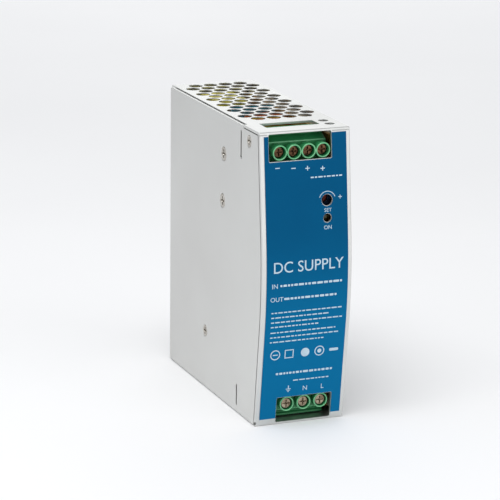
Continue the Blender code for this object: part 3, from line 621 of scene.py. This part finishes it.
def flanges_and_standoffs():
    """The bent edges behind the cover, and the studs that the board is screwed to."""
    top = (z_of(CASE_HEIGHT - FLANGE_WIDTH), z_of(CASE_HEIGHT - SHEET / 2))
    bottom = (z_of(SHEET / 2), z_of(FLANGE_WIDTH))
    rear = (z_of(FLANGE_WIDTH + 1), z_of(CASE_HEIGHT - FLANGE_WIDTH - 1))
    additions = [
        block(FLANGE_X, (-103.0, -8.0), top),
        block(FLANGE_X, (-101.0, -8.0), bottom),
        block(FLANGE_X, (-10.0, BACK_Y - SHEET / 2), rear),
    ]
    for node in BOARD_SCREWS:
        low, high = node_box(node)
        middle = (low + high) / 2
        start = (node_box("main_board")[1].x + 0.3, middle.y, middle.z)
        additions.append(rod("X", start, HALF_WIDTH - start[0] - SHEET / 2, STANDOFF_RADIUS, sides=28))
    return additions


def vents(shell):
    """Round holes through the top and bottom, where the sheet is thinned from inside."""
    thinned = ((VENT_SHEET, SHEET + 1), (CASE_HEIGHT - SHEET - 1, CASE_HEIGHT - VENT_SHEET))
    for low, high in thinned:
        shell = carve(shell, [block(THINNED_X, THINNED_Y, (z_of(low), z_of(high)))])
    for level in (z_of(CASE_HEIGHT) - 2 * SHEET, z_of(0) - SHEET):
        holes = [rod("Z", (x, y, level), 3 * SHEET, VENT_RADIUS, sides=VENT_SIDES) for x, y in vent_centres()]
        shell = carve(shell, [together(holes)])
    return shell


def small_holes():
    """Holes for rivets, controls and the cover screw, the two beside the wire window, and the slots."""
    x, radius = SMALL_HOLES["x"], SMALL_HOLES["radius"]
    over = z_of(CASE_HEIGHT) - 2
    cuts = [rod("Z", (x, y, over), 3 * SHEET, radius, sides=24) for y in SMALL_HOLES["ys"]]
    cuts += [rod("Y", (0, -4, z), 3, RIVET_HOLE, sides=20) for z in RIVET_Z]
    for (x, height, radius), sides in ((ADJUST, 36), (STATUS, 32)):
        cuts.append(rod("Y", (x, IN_FRONT, z_of(height)), 12, radius, sides=sides))
    _, y, height, _ = COVER_SCREWS[0]
    cuts.append(rod("X", (-19.0, y, z_of(height)), 3, COVER_SCREW_HOLE, sides=24))
    x, height, radius = RELIEF_HOLE
    relief_end = front_y(height) + SHEET + 0.2
    cuts.append(rod("Y", (x, IN_FRONT, z_of(height)), relief_end - IN_FRONT, radius, sides=20))
    through = (FLANGE_X[0] - 0.5, FLANGE_X[1] + 0.5)
    for y, low, high in TAB_SLOTS:
        cuts.append(block(through, (y - 1.1, y + 1.1), (z_of(low), z_of(high))))
    return cuts


def terminal_openings():
    """The wire window and the front cutout of each terminal block."""
    openings = []
    for kind in (OUTPUT, INPUT):
        plate = z_of(CASE_HEIGHT) if kind is OUTPUT else z_of(0)
        openings.append(soft_box(kind["window_x"], WINDOW_Y, (plate - 1.5, plate + 1.5), 0.5, "Z"))
        ends = [z_of(h) for h in kind["cutout_h"]]
        openings.append(soft_box(kind["cutout_x"], (IN_FRONT, -103.0), ends, 0.6, "Y"))
    return openings


def seam_grooves():
    """The line where the top sheet meets the front, on both sides of the output cutout."""
    depth = (IN_FRONT, front_y(SEAM_HEIGHT) + SEAM_DEPTH)
    seam = (z_of(SEAM_HEIGHT) - SEAM / 2, z_of(SEAM_HEIGHT) + SEAM / 2)
    left, right = OUTPUT["cutout_x"]
    sides = ((-HALF_WIDTH - 1, left - 0.6), (right + 0.6, HALF_WIDTH + 1))
    return [block(side, depth, seam) for side in sides]


def case_sheet():
    """The bent chassis: front, right wall, top, bottom and back, with flanges for the side cover."""
    shell = prism(case_outline(), (-HALF_WIDTH, HALF_WIDTH), "YZ")
    shell = rounded(shell, 0.45, 4, 60, lambda p: p.x > HALF_WIDTH - 0.01)
    shell = rounded(shell, 0.25, 3, 60, lambda p: p.x < 0.01 - HALF_WIDTH)
    shell = carve(case_hollow(shell), flanges_and_standoffs(), "UNION")
    shell = carve(vents(shell), [together(small_holes())])
    shell = carve(shell, terminal_openings() + [together(seam_grooves())])
    shell = rounded(shell, 0.09, 2, 40)
    piece("case_sheet", shell, CASE_METAL, "chassis_shell")


def cover_plate():
    """The side plate, its edges broken, with countersinks and round-ended slots."""
    low = 0.4
    high = CASE_HEIGHT - 0.4
    under_ear = CASE_HEIGHT - SHEET - 0.4
    outline = front_outline(low, under_ear, SHEET + FRONT_SEAM)
    outline += [(EAR_BACK_Y + 0.3, z_of(under_ear)), (EAR_BACK_Y + 0.3, z_of(high))]
    upper = (COVER_BACK_Y, z_of(high))
    lower = (COVER_BACK_Y, z_of(low))
    outline += arc_corner((EAR_BACK_Y, z_of(high)), upper, lower, COVER_CORNER)
    outline += arc_corner(upper, lower, outline[0], COVER_CORNER)
    plate = prism(outline, COVER_X, "YZ")
    cuts = []
    for _, y, height, head in COVER_SCREWS:
        wide = head + 0.7
        cuts.append(rod("X", (COVER_X[0] - 0.4, y, z_of(height)), 2.4, wide, wide - 2.4, sides=40))
    for y, bottom, top in TAB_SLOTS:
        through = (COVER_X[0] - 1, COVER_X[1] + 1)
        cuts.append(soft_box(through, (y - 0.6, y + 0.6), (z_of(bottom), z_of(top)), 0.45, "X"))
    plate = carve(plate, [together(cuts)])
    y, bottom, _ = TAB_SLOTS[0]
    plate = carve(plate, [rod("X", (COVER_X[0] - 1, y, z_of(bottom + 0.5)), 4, 0.9, sides=24)])
    plate = rounded(plate, 0.13, 3, 30)
    piece("cover_plate", plate, COVER_METAL, "side_cover")


def countersunk(origin, head, reach):
    """A countersunk screw with a cross recess, seen from the left."""
    profile = [(0.0, 0.12), (head - 0.35, 0.12), (head - 0.12, 0.18), (head - 0.05, 0.32)]
    profile += [(SHANK_RADIUS, head - 1.3), (SHANK_RADIUS, reach), (0.0, reach)]
    screw = turned(profile, "X", origin, 44)
    x, y, z = origin
    arm = 0.62 * head
    for long, narrow in ((arm, CROSS_HALF), (CROSS_HALF, arm)):
        slot = block((x - 1, x + 1.1), (y - long, y + long), (z - narrow, z + narrow))
        screw = carve(screw, [slot])
    screw = carve(screw, [rod("X", (x - 0.2, y, z), 1.6, 0.9, 0.25, sides=20)])
    return rounded(screw, 0.05, 2, 38)


def cover_screws():
    for node, y, height, head in COVER_SCREWS:
        reach = node_box(node)[1].x - COVER_X[0]
        screw = countersunk((COVER_X[0], y, z_of(height)), head, reach)
        piece(node + "_detail", screw, SCREW_STEEL, node)


# ---------------- label and print


def label_film():
    back = front_outline(*LABEL_H, -LABEL_GAP)
    face = front_outline(*LABEL_H, -LABEL_FACE)
    film = prism(back + face[::-1], LABEL_X, "YZ")
    cuts = []
    for kind in (OUTPUT, INPUT):
        sides = (kind["cutout_x"][0] - 0.2, kind["cutout_x"][1] + 0.2)
        low, high = kind["cutout_h"]
        ends = (low - 0.2, 130.0) if kind is OUTPUT else (-5.0, high + 0.2)
        cuts.append(soft_box(sides, (IN_FRONT, -100.0), [z_of(h) for h in ends], 0.7, "Y"))
    for x, height, radius in (ADJUST, STATUS):
        cuts.append(rod("Y", (x, IN_FRONT, z_of(height)), 12, radius + 0.2, sides=36))
    film = carve(film, [together(cuts)])
    film = rounded(film, 0.04, 1, 40)
    piece("label_film", film, LABEL_BLUE, "front_label")


def on_label(bm):
    """Lays flat print (X across, Y up as a height, Z out) on the label's curved face."""
    for vertex in bm.verts:
        x, height, out = vertex.co
        vertex.co = (x, front_y(height) - LABEL_FACE - out, z_of(height))
    return facing_out(bm)


def lettering(words, x, height, tall, width=None):
    """Generic words in Blender's own font, centred on a point, scaled to a height and, if given, a width."""
    curve = bpy.data.curves.new("words", "FONT")
    curve.body = words
    curve.extrude = 0.5
    curve.resolution_u = 4
    carrier = bpy.data.objects.new("words", curve)
    bpy.context.scene.collection.objects.link(carrier)
    mesh = bpy.data.meshes.new_from_object(carrier.evaluated_get(bpy.context.evaluated_depsgraph_get()))
    bpy.data.objects.remove(carrier)
    bpy.data.curves.remove(curve)
    bm = bmesh.new()
    bm.from_mesh(mesh)
    bpy.data.meshes.remove(mesh)
    bmesh.ops.remove_doubles(bm, verts=bm.verts, dist=1e-5)
    low = [min(v.co[i] for v in bm.verts) for i in range(2)]
    high = [max(v.co[i] for v in bm.verts) for i in range(2)]
    scale_y = tall / (high[1] - low[1])
    scale_x = width / (high[0] - low[0]) if width else scale_y
    for vertex in bm.verts:
        vertex.co.x = x + (vertex.co.x - (low[0] + high[0]) / 2) * scale_x
        vertex.co.y = height + (vertex.co.y - (low[1] + high[1]) / 2) * scale_y
        vertex.co.z = vertex.co.z * 2 * PRINT_PROUD
    return on_label(bm)


def bar(x, height, radius=0.08):
    return on_label(soft_box(x, height, (-PRINT_PROUD, PRINT_PROUD), radius, "Z"))


def disc(x, height, radius, inner=None):
    """A printed dot, or a ring when it has an inner radius."""
    if inner is None:
        return on_label(rod("Z", (x, height, -PRINT_PROUD), 2 * PRINT_PROUD, radius, sides=28))
    profile = [(inner, PRINT_PROUD), (radius, PRINT_PROUD), (radius, -PRINT_PROUD), (inner, -PRINT_PROUD)]
    return on_label(turned(profile + profile[:1], "Z", (x, height, 0), 32))


def arc_band(x, height, radius, start, end, width=0.28, steps=24):
    """A printed arc between two angles in degrees."""
    turns = [math.radians(start + (end - start) * k / steps) for k in range(steps + 1)]
    outer = [(x + (radius + width) * math.cos(a), height + (radius + width) * math.sin(a)) for a in turns]
    inner = [(x + radius * math.cos(a), height + radius * math.sin(a)) for a in turns]
    return on_label(prism(outer + inner[::-1], (-PRINT_PROUD, PRINT_PROUD), "XY"))


def small_print(x, height, tall, luck):
    """A line of short dashes that stands for small print."""
    dashes = []
    at = x[0]
    while at < x[1]:
        long = luck.uniform(0.8, 2.6)
        dashes.append(bar((at, min(at + long, x[1])), (height - tall / 2, height + tall / 2), tall * 0.3))
        at += long + 0.45
        if x[1] - at < 0.6:
            break
    return dashes


def sign(x, height, half, stroke, plus=True):
    """A printed plus or minus, the plus as one bar across and two short ones that meet it."""
    marks = [bar((x - half, x + half), (height - stroke, height + stroke))]
    if plus:
        across = (x - stroke, x + stroke)
        marks.append(bar(across, (height + SIGN_GAP, height + half)))
        marks.append(bar(across, (height - half, height - SIGN_GAP)))
    return marks


def rows(lines, tall, luck):
    """Lines of small print, each given as its height and its ends in x."""
    return [dash for height, *ends in lines for dash in small_print(ends, height, tall, luck)]


def control_marks(luck):
    """Signs under the output screws, and the legends of the trimmer and the lamp."""
    marks = []
    for x, height in ((-12.5, 110.4), (-5.5, 109.9), (0.7, 109.5), (7.4, 109.0)):
        marks += sign(x, height, 0.95, 0.19, plus=x > 0)
    marks += rows([(105.6, 2.0, 16.0)], 0.55, luck)
    marks.append(arc_band(ADJUST[0], ADJUST[1], 3.5, 20, 160))
    marks += sign(14.9, 96.8, 0.8, 0.15)
    return marks + [lettering("SET", 9.4, 91.75, 1.5), lettering("ON", 9.2, 84.6, 1.6)]


def rating_lines(luck):
    """The title, two rated lines and the notes under them."""
    marks = [lettering("DC SUPPLY", 0.6, 69.5, 4.6, 31.0)]
    marks.append(lettering("IN", -14.4, 61.8, 1.9))
    marks += rows([(61.8, -12.0, 16.0)], 0.9, luck)
    marks.append(lettering("OUT", -13.4, 56.1, 1.9))
    marks += rows([(56.1, -10.2, 13.5)], 0.9, luck)
    left = -15.6
    upper = [(50.3, left, 15.8), (48.2, left, 11.0), (46.1, left, 16.2), (44.1, left, 6.5)]
    lower = [(41.6, left, 13.5), (39.5, left, 15.8), (37.4, left, 9.0)]
    return marks + rows(upper + lower, 0.5, luck)


def plain_shapes():
    """A row of plain shapes: a barred ring, a square, a disc, a ring with a dot, and a bar."""
    marks = [disc(-12.8, 31.6, 2.2, 1.8), bar((-13.9, -11.7), (31.4, 31.8))]
    marks += [bar((-8.6, -4.6), across) for across in ((29.7, 30.1), (33.1, 33.5))]
    marks += [bar(upright, (30.2, 33.0)) for upright in ((-8.6, -8.2), (-5.0, -4.6))]
    marks += [disc(0.6, 31.6, 1.9), disc(7.0, 31.6, 2.2, 1.8), disc(7.0, 31.6, 0.9)]
    return marks + [bar((11.5, 15.5), (31.0, 32.2), 0.4)]


def input_marks():
    """The earth symbol and the letters over the input screws."""
    marks = [bar((-6.1, -5.7), (15.9, 17.2))]
    for half, height in ((1.1, 15.7), (0.7, 15.1), (0.3, 14.5)):
        marks.append(bar((-5.9 - half, -5.9 + half), (height - 0.15, height + 0.15)))
    return marks + [lettering("N", 1.6, 15.4, 2.0), lettering("L", 9.5, 15.4, 2.0)]


def printing():
    """White lettering and marks, all generic."""
    luck = random.Random(SEED)
    prints = control_marks(luck) + rating_lines(luck) + plain_shapes()
    prints += rows([(23.0, -12.0, 14.0)], 0.9, luck) + rows([(19.4, -4.0, 13.0)], 0.5, luck)
    piece("label_print", together(prints + input_marks()), PRINT_WHITE, smooth=30, weighted=False)


# ---------------- terminals


def plain(node, width, look, segments=2, angle=35, body="case"):
    """The node's own shape with its edges rounded and its finish on."""
    shape = rounded(from_cad(node), width, segments, angle)
    piece(node + "_detail", shape, look, node, body=body)


def pole_x(kind, pole):
    return kind["middle_x"] + kind["pitch"] * (pole - (kind["poles"] - 1) / 2)


def deep_z(kind, low, high):
    """World Z pair of two depths measured inwards from the block's wire face."""
    return sorted(z_of(kind["face"] + kind["inward"] * s) for s in (low, high))


def terminal_block(kind):
    """A moulded block with flared wire funnels, screw collars and an open cage cavity in each pole; the
    collars' front rims and the lip are painted a lighter green as a highlight.
    """
    half = kind["poles"] * kind["pitch"] / 2
    front, back = BLOCK_Y
    section = [(back, 0), (-101, 0), (-101, 0.9), (-99.8, 1.2), (-99.8, 1.8), (front, LIP_DEEP)]
    section += [(front, BLOCK_DEEP), (back, BLOCK_DEEP)]
    outline = [(y, z_of(kind["face"] + kind["inward"] * s)) for y, s in section]
    middle = kind["middle_x"]
    body = rounded(prism(outline, (middle - half, middle + half), "YZ"), 0.3, 3, 30)
    z = z_of(kind["face"] + kind["inward"] * SCREW_DEEP)
    collar_y = front_y(z + RAIL_HEIGHT)
    lip_z = z_of(kind["face"] + kind["inward"] * LIP_DEEP)
    bores, shank_holes, wells = [], [], []
    for pole in range(kind["poles"]):
        x = pole_x(kind, pole)
        reach = front + 0.5 - collar_y
        profile = [(0, 0), (COLLAR_RADIUS - 0.3, 0), (COLLAR_RADIUS, 0.3), (COLLAR_RADIUS, reach), (0, reach)]
        collar = turned(profile, "Y", (x, collar_y, z), 48)
        body = carve(body, [collar], "UNION")
        deep = front - collar_y
        mouth = [(0, -1), (COLLAR_BORE + 1.2, -1), (COLLAR_BORE, 0.2), (COLLAR_BORE, deep), (0, deep)]
        bores.append(turned(mouth, "Y", (x, collar_y, z), 40))
        shank_holes.append(rod("Y", (x, front - 0.5, z), 2.0, SHANK_HOLE, sides=24))
        cell = kind["pitch"] / 2 - 0.43
        wells.append(block((x - cell, x + cell), CAVITY_Y, deep_z(kind, *CAVITY_DEEP)))
    body = carve(body, [together(bores)])
    body = carve(body, [together(shank_holes)])
    body = carve(body, [together(wells)])
    ways = []
    flares = []
    for pole in range(kind["poles"]):
        x = pole_x(kind, pole)
        wide = kind["funnel"]
        ways.append(soft_box((x - wide, x + wide), FUNNEL_Y, deep_z(kind, -1.0, 4.7), 0.5, "Z"))
        ways.append(block((x - 0.8, x + 0.8), PIN_SLOT_Y, deep_z(kind, *PIN_SLOT_DEEP)))
        wide += 0.4
        flares.append(soft_box((x - wide, x + wide), FLARE_Y, deep_z(kind, -1.0, 0.5), 0.8, "Z"))
    body = carve(body, [together(ways)])
    body = carve(body, [together(flares)])
    ribs = []
    for pole in range(1, kind["poles"]):
        x = pole_x(kind, pole) - kind["pitch"] / 2
        ribs.append(block((x - 0.12, x + 0.12), (front - 0.5, back + 0.5), deep_z(kind, -0.5, 0.35)))
    body = carve(body, [together(ribs)])
    body = rounded(body, 0.09, 2, 42)
    # Faces on the lip and in front of the collars take the lighter green: a painted highlight where those
    # faces catch the light
    for face in body.faces:
        spot = face.calc_center_median()
        highlight_on_lip = abs(spot.y - front) < 0.32 and abs(spot.z - lip_z) < 0.32
        face.material_index = int(highlight_on_lip or spot.y < collar_y + 0.26)
    name = kind["name"]
    piece(name + "_block_detail", body, [GREEN, GREEN_PAINTED_HIGHLIGHT], name + "_terminal_block")


def terminal_screw(kind, pole, look):
    """A cheese-head screw with a cross recess and turned thread."""
    node = f"{kind['name']}_screw_{pole + 1}"
    low, high = node_box(node)
    origin = ((low.x + high.x) / 2, low.y, (low.z + high.z) / 2)
    length = high.y - low.y
    head = kind["head"]
    profile = [(0, 0.05), (HEAD_RADIUS - 0.55, 0.05), (HEAD_RADIUS - 0.15, 0.14), (HEAD_RADIUS, 0.35)]
    profile += [(HEAD_RADIUS, head - 0.1), (HEAD_RADIUS - 0.1, head), (1.4, head)]
    at = head + 0.25
    while at < length - 0.6:
        profile += [(1.22, at), (1.43, at + 0.2)]
        at += 0.4
    profile += [(1.1, length - 0.1), (1.0, length), (0, length)]
    screw = turned(profile, "Y", origin, 40)
    x, y, z = origin
    half = kind["slot"]
    for long, narrow in ((CROSS_ARM, half), (half, CROSS_ARM)):
        screw = carve(screw, [block((x - long, x + long), (y - 1, y + 1.0), (z - narrow, z + narrow))])
    screw = carve(screw, [rod("Y", (x, y - 0.3, z), 1.6, 0.4 + half, 0.25, sides=20)])
    screw = rounded(screw, 0.05, 2, 45)
    piece(node + "_detail", screw, look, node, body=node)


def terminals(kind, look):
    terminal_block(kind)
    for pole in range(kind["poles"]):
        terminal_screw(kind, pole, look)
        cage = f"{kind['name']}_cage_{pole + 1}"
        plain(cage, 0.12, CAGE_STEEL, angle=40, body=cage)
        plain(f"{kind['name']}_contact_{pole + 1}", 0.08, BRASS, angle=40)
    plain(kind["name"] + "_terminal_board", 0.08, BOARD, 1, angle=40)


# ---------------- electronics


def can(node, sleeve, score):
    """A capacitor: sleeve over a can with a rolled groove, and a scored aluminium end."""
    low, high = node_box(node)
    radius = (high.y - low.y) / 2
    tall = high.x - low.x
    origin = (high.x, (low.y + high.y) / 2, (low.z + high.z) / 2)
    rim = radius - 0.9
    waist = 0.93 * radius
    profile = [(rim, tall - 0.35), (rim + 0.1, tall - 0.05), (rim + 0.35, tall), (radius - 0.25, tall - 0.1)]
    profile += [(radius, tall - 0.5), (radius, 3.6), (radius - 0.12, 3.2), (waist, 2.8), (waist, 2.6)]
    profile += [(radius - 0.12, 2.2), (radius, 1.8), (radius, 0.3), (radius - 0.3, 0), (0, 0), (0, 1.0)]
    profile += [(rim, 1.0), (rim, tall - 0.35)]
    sleeve_shape = turned(profile, "-X", origin, 56)
    lid = rim + 0.05
    end = turned([(0, tall - 0.3), (lid, tall - 0.3), (lid, 1.2), (0, 1.2)], "-X", origin, 48)
    x = origin[0] - tall + 0.3
    for turn in range(score):
        angle = math.pi * turn / score
        groove = block((-0.22, 0.22), (-0.62 * radius, 0.62 * radius), (-0.14, 0.14))
        groove.transform(Matrix.Translation((x, origin[1], origin[2])) @ Matrix.Rotation(angle, 4, "X"))
        end = carve(end, [groove])
    whole = together([paint(sleeve_shape, 0), paint(end, 1)])
    piece(node + "_detail", whole, [sleeve, CAN_END], node)


def wound_ring(node, wire, turns, core_look):
    """A ring core wound with one long wire, standing on the board."""
    low, high = node_box(node)
    middle = (low + high) / 2
    outer = (high.y - low.y) / 2
    tall = high.x - low.x
    inner = outer * 0.39
    edge = wire * 2 + 0.15
    near, far = inner + edge, outer - edge
    section = [(near, tall - edge), (far, tall - edge), (far, edge), (near, edge), (near, tall - edge)]
    core = turned(section, "-X", (high.x, middle.y, middle.z), 56)
    core = rounded(core, 0.5, 3, 40)
    path = []
    per_turn = 20
    flat = 0.45
    reach = (outer - inner) / 2 - wire
    rise = tall / 2 - wire
    for k in range(turns * per_turn):
        around = 2 * math.pi * k / (turns * per_turn)
        through = 2 * math.pi * k / per_turn
        c, s = math.cos(through), math.sin(through)
        radius = (outer + inner) / 2 + reach * math.copysign(abs(c) ** flat, c)
        side = rise * math.copysign(abs(s) ** flat, s)
        y, z = radius * math.cos(around), radius * math.sin(around)
        path.append((middle.x + side, middle.y + y, middle.z + z))
    loop = tube(path, wire, 8, closed=True)
    whole = together([paint(core, 0), paint(loop, 1)])
    piece(node + "_detail", whole, [core_look, COPPER], node)


def surge_disc():
    """A dipped disc on two wire legs."""
    node = "surge_absorber"
    low, high = node_box(node)
    middle = (low + high) / 2
    radius = (high.z - low.z) / 2
    thick = (high.y - low.y) / 2
    profile = [(0, thick)]
    for k in range(9):
        angle = math.pi / 2 - math.pi * k / 8
        profile.append((radius - 1.3 + 1.3 * math.cos(angle), thick * math.sin(angle)))
    profile.append((0, -thick))
    disc_x = low.x + radius
    shape = paint(turned(profile, "Y", (disc_x, middle.y, middle.z), 56), 0)
    legs = []
    for z in (middle.z - 2.5, middle.z + 2.5):
        path = [(disc_x, middle.y, z), (disc_x + radius, middle.y, z), (high.x + 1.2, middle.y, z)]
        legs.append(paint(tube(path, 0.35), 1))
    piece(node + "_detail", together([shape] + legs), [BLUE_DISC, CAGE_STEEL], node)


def fuse():
    node = "input_fuse"
    low, high = node_box(node)
    middle = (low + high) / 2
    start = (middle.x, low.y, middle.z)
    length = high.y - low.y
    tube_profile = [(0, 1.0), (2.3, 1.0), (2.3, length - 1.0), (0, length - 1.0)]
    parts = [paint(turned(tube_profile, "Y", start, 40), 0)]
    for near in (0.0, length - FUSE_CAP):
        far = near + FUSE_CAP
        cap = [(0, near), (2.4, near), (2.7, near + 0.3), (2.7, far - 0.3), (2.4, far), (0, far)]
        parts.append(paint(turned(cap, "Y", start, 40), 1))
    piece(node + "_detail", together(parts), [CERAMIC, SCREW_STEEL], node)


def rotor():
    """The trimmer's slotted rotor."""
    node = "trimmer_rotor"
    low, high = node_box(node)
    x, z = (low.x + high.x) / 2, (low.z + high.z) / 2
    deep = high.y - low.y
    profile = [(0, 0), (1.55, 0), (1.9, 0.3), (1.9, deep), (0, deep)]
    shape = turned(profile, "Y", (x, low.y, z), 40)
    shape = carve(shape, [block((x - 0.35, x + 0.35), (low.y - 1, low.y + 0.9), (z - 1.6, z + 1.6))])
    piece(node + "_detail", rounded(shape, 0.05, 2, 40), ROTOR_RED, node, body="adjuster")


def lamp():
    node = "status_light"
    low, high = node_box(node)
    z = (low.z + high.z) / 2
    x = STATUS[0]
    radius = 1.45
    turns = [math.pi / 16 * k for k in range(1, 9)]
    profile = [(0, 0)] + [(radius * math.sin(a), radius * (1 - math.cos(a))) for a in turns]
    profile += [(radius, 4.0), (radius, high.y - low.y), (0, high.y - low.y)]
    shape = turned(profile, "Y", (x, low.y, z), 40)
    foot = block((x - 1.0, high.x), (-106.5, -105.2), (z - 1.0, z + 1.0))
    piece(node + "_detail", carve(shape, [foot], "UNION"), LENS, node)


def electronics():
    plain("main_board", 0.08, BOARD, 1)
    plain("insulation_sheet", 0.04, FILM, 1)
    plain("transformer_core", 0.3, FERRITE, 3)
    plain("transformer_winding", 0.9, TAPE, 4)
    plain("trimmer_body", 0.2, TRIMMER_BLUE)
    plain("line_filter_capacitor", 0.6, YELLOW, 3)
    plain("bridge_rectifier", 0.35, BLACK)
    plain("switching_transistor", 0.25, BLACK)
    plain("output_rectifier", 0.25, BLACK)
    plain("input_heatsink", 0.12, ALUMINIUM)
    plain("output_heatsink", 0.12, ALUMINIUM)
    for screw in BOARD_SCREWS:
        plain(screw, 0.1, SCREW_STEEL)
    rotor()
    lamp()
    surge_disc()
    fuse()
    can("bulk_capacitor", SLEEVE_BLACK, 3)
    for i in (1, 2, 3):
        can(f"output_capacitor_{i}", SLEEVE_TEAL, 2)
    wound_ring("output_inductor", 0.55, 24, RING_CORE)
    wound_ring("line_choke", 0.45, 24, FERRITE)


# ---------------- rail clip


def latch_spring():
    """The round-wire spring, a helix as tall as its node."""
    node = "latch_spring"
    low, high = node_box(node)
    radius = (high.x - low.x) / 2 - SPRING_WIRE
    middle = (low + high) / 2
    per_turn = 28
    steps = SPRING_TURNS * per_turn
    path = []
    for k in range(steps + 1):
        angle = 2 * math.pi * k / per_turn
        z = low.z + SPRING_WIRE + (high.z - low.z - 2 * SPRING_WIRE) * k / steps
        path.append((middle.x + radius * math.cos(angle), middle.y + radius * math.sin(angle), z))
    wire = tube(path, SPRING_WIRE, 10)
    obj = piece(node + "_detail", wire, SPRING_STEEL, node, weighted=False)
    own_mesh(obj)


def rail_clip():
    plain("clip_plate", 0.18, CLIP_STEEL)
    plain("clip_latch", 0.18, CLIP_STEEL, body="rail_latch")
    latch_spring()
    for name in ("clip_rivet_upper", "clip_rivet_lower"):
        low, high = node_box(name)
        x, z = (low.x + high.x) / 2, (low.z + high.z) / 2
        reach = high.y - low.y
        profile = [(0, 0), (0.9, 0.03), (1.8, 0.25), (2.35, 0.5), (2.55, 0.72), (2.6, 0.82), (1.4, 0.84)]
        profile += [(1.4, reach - 0.2), (1.2, reach), (0, reach)]
        rivet = turned(profile, "-Y", (x, high.y, z), 40)
        piece(name + "_detail", rivet, SCREW_STEEL, name)


# ---------------- stage


def area(name, place, aim, size, power):
    light = bpy.data.lights.new(name, "AREA")
    light.shape = "RECTANGLE"
    light.size, light.size_y = size
    light.energy = power
    obj = bpy.data.objects.new(name, light)
    obj.location = place
    obj.visible_camera = False
    obj.rotation_euler = (Vector(aim) - Vector(place)).to_track_quat("-Z", "Y").to_euler()
    bpy.context.scene.collection.objects.link(obj)


def studio():
    middle = (0.0, -0.055, 0.0)
    area("key", (-0.35, -0.35, 1.05), middle, (0.7, 0.7), 7.0)
    area("front_fill", (0.5, -1.1, 0.35), middle, (0.9, 0.9), 2.5)
    area("left_fill", (-1.1, 0.1, 0.25), middle, (1.0, 0.8), 1.7)
    area("back_card", (0.45, 1.1, 0.42), middle, (1.3, 0.6), 2.4)
    world = bpy.data.worlds.new("studio")
    world.use_nodes = True
    put(world.node_tree.nodes["Background"], Color=tone("F6F8FA"), Strength=0.55)
    bpy.context.scene.world = world
    bpy.context.scene.view_settings.view_transform = "Standard"
    reach = (-FLOOR_HALF, FLOOR_HALF)
    floor = block(reach, reach, (z_of(0) - 20, z_of(0)))
    floor.transform(Matrix.Scale(MM, 4))
    mesh = bpy.data.meshes.new("floor")
    floor.to_mesh(mesh)
    floor.free()
    paper = surface("floor_paper", "FBFBFC", "F8F8F9", (0.75, 0.9), patch=3, grain=300, relief=0.02)
    mesh.materials.append(paper)
    stage = bpy.data.objects.new("floor", mesh)
    bpy.context.scene.collection.objects.link(stage)


def camera():
    """The view of the left side, the front and the top, from a little above."""
    data = bpy.data.cameras.new("camera")
    data.lens = LENS_MM
    data.sensor_width = SENSOR_MM
    data.shift_y = CAMERA_SHIFT
    data.clip_start = 0.01
    data.clip_end = 50.0
    eye = bpy.data.objects.new("camera", data)
    turn = Matrix.Rotation(math.radians(CAMERA_TURN), 4, "Z")
    tilt = Matrix.Rotation(math.radians(90 - CAMERA_DOWN), 4, "X")
    roll = Matrix.Rotation(math.radians(CAMERA_ROLL), 4, "Z")
    eye.matrix_world = Matrix.Translation(CAMERA_AT) @ turn @ tilt @ roll
    bpy.context.scene.collection.objects.link(eye)
    bpy.context.scene.camera = eye


case_sheet()
cover_plate()
cover_screws()
label_film()
printing()
# The output screws take the darker bronze, whose dark tones are painted shade
terminals(OUTPUT, SCREW_BRONZE_SHADED)
terminals(INPUT, SCREW_PALE)
electronics()
rail_clip()
studio()
camera()
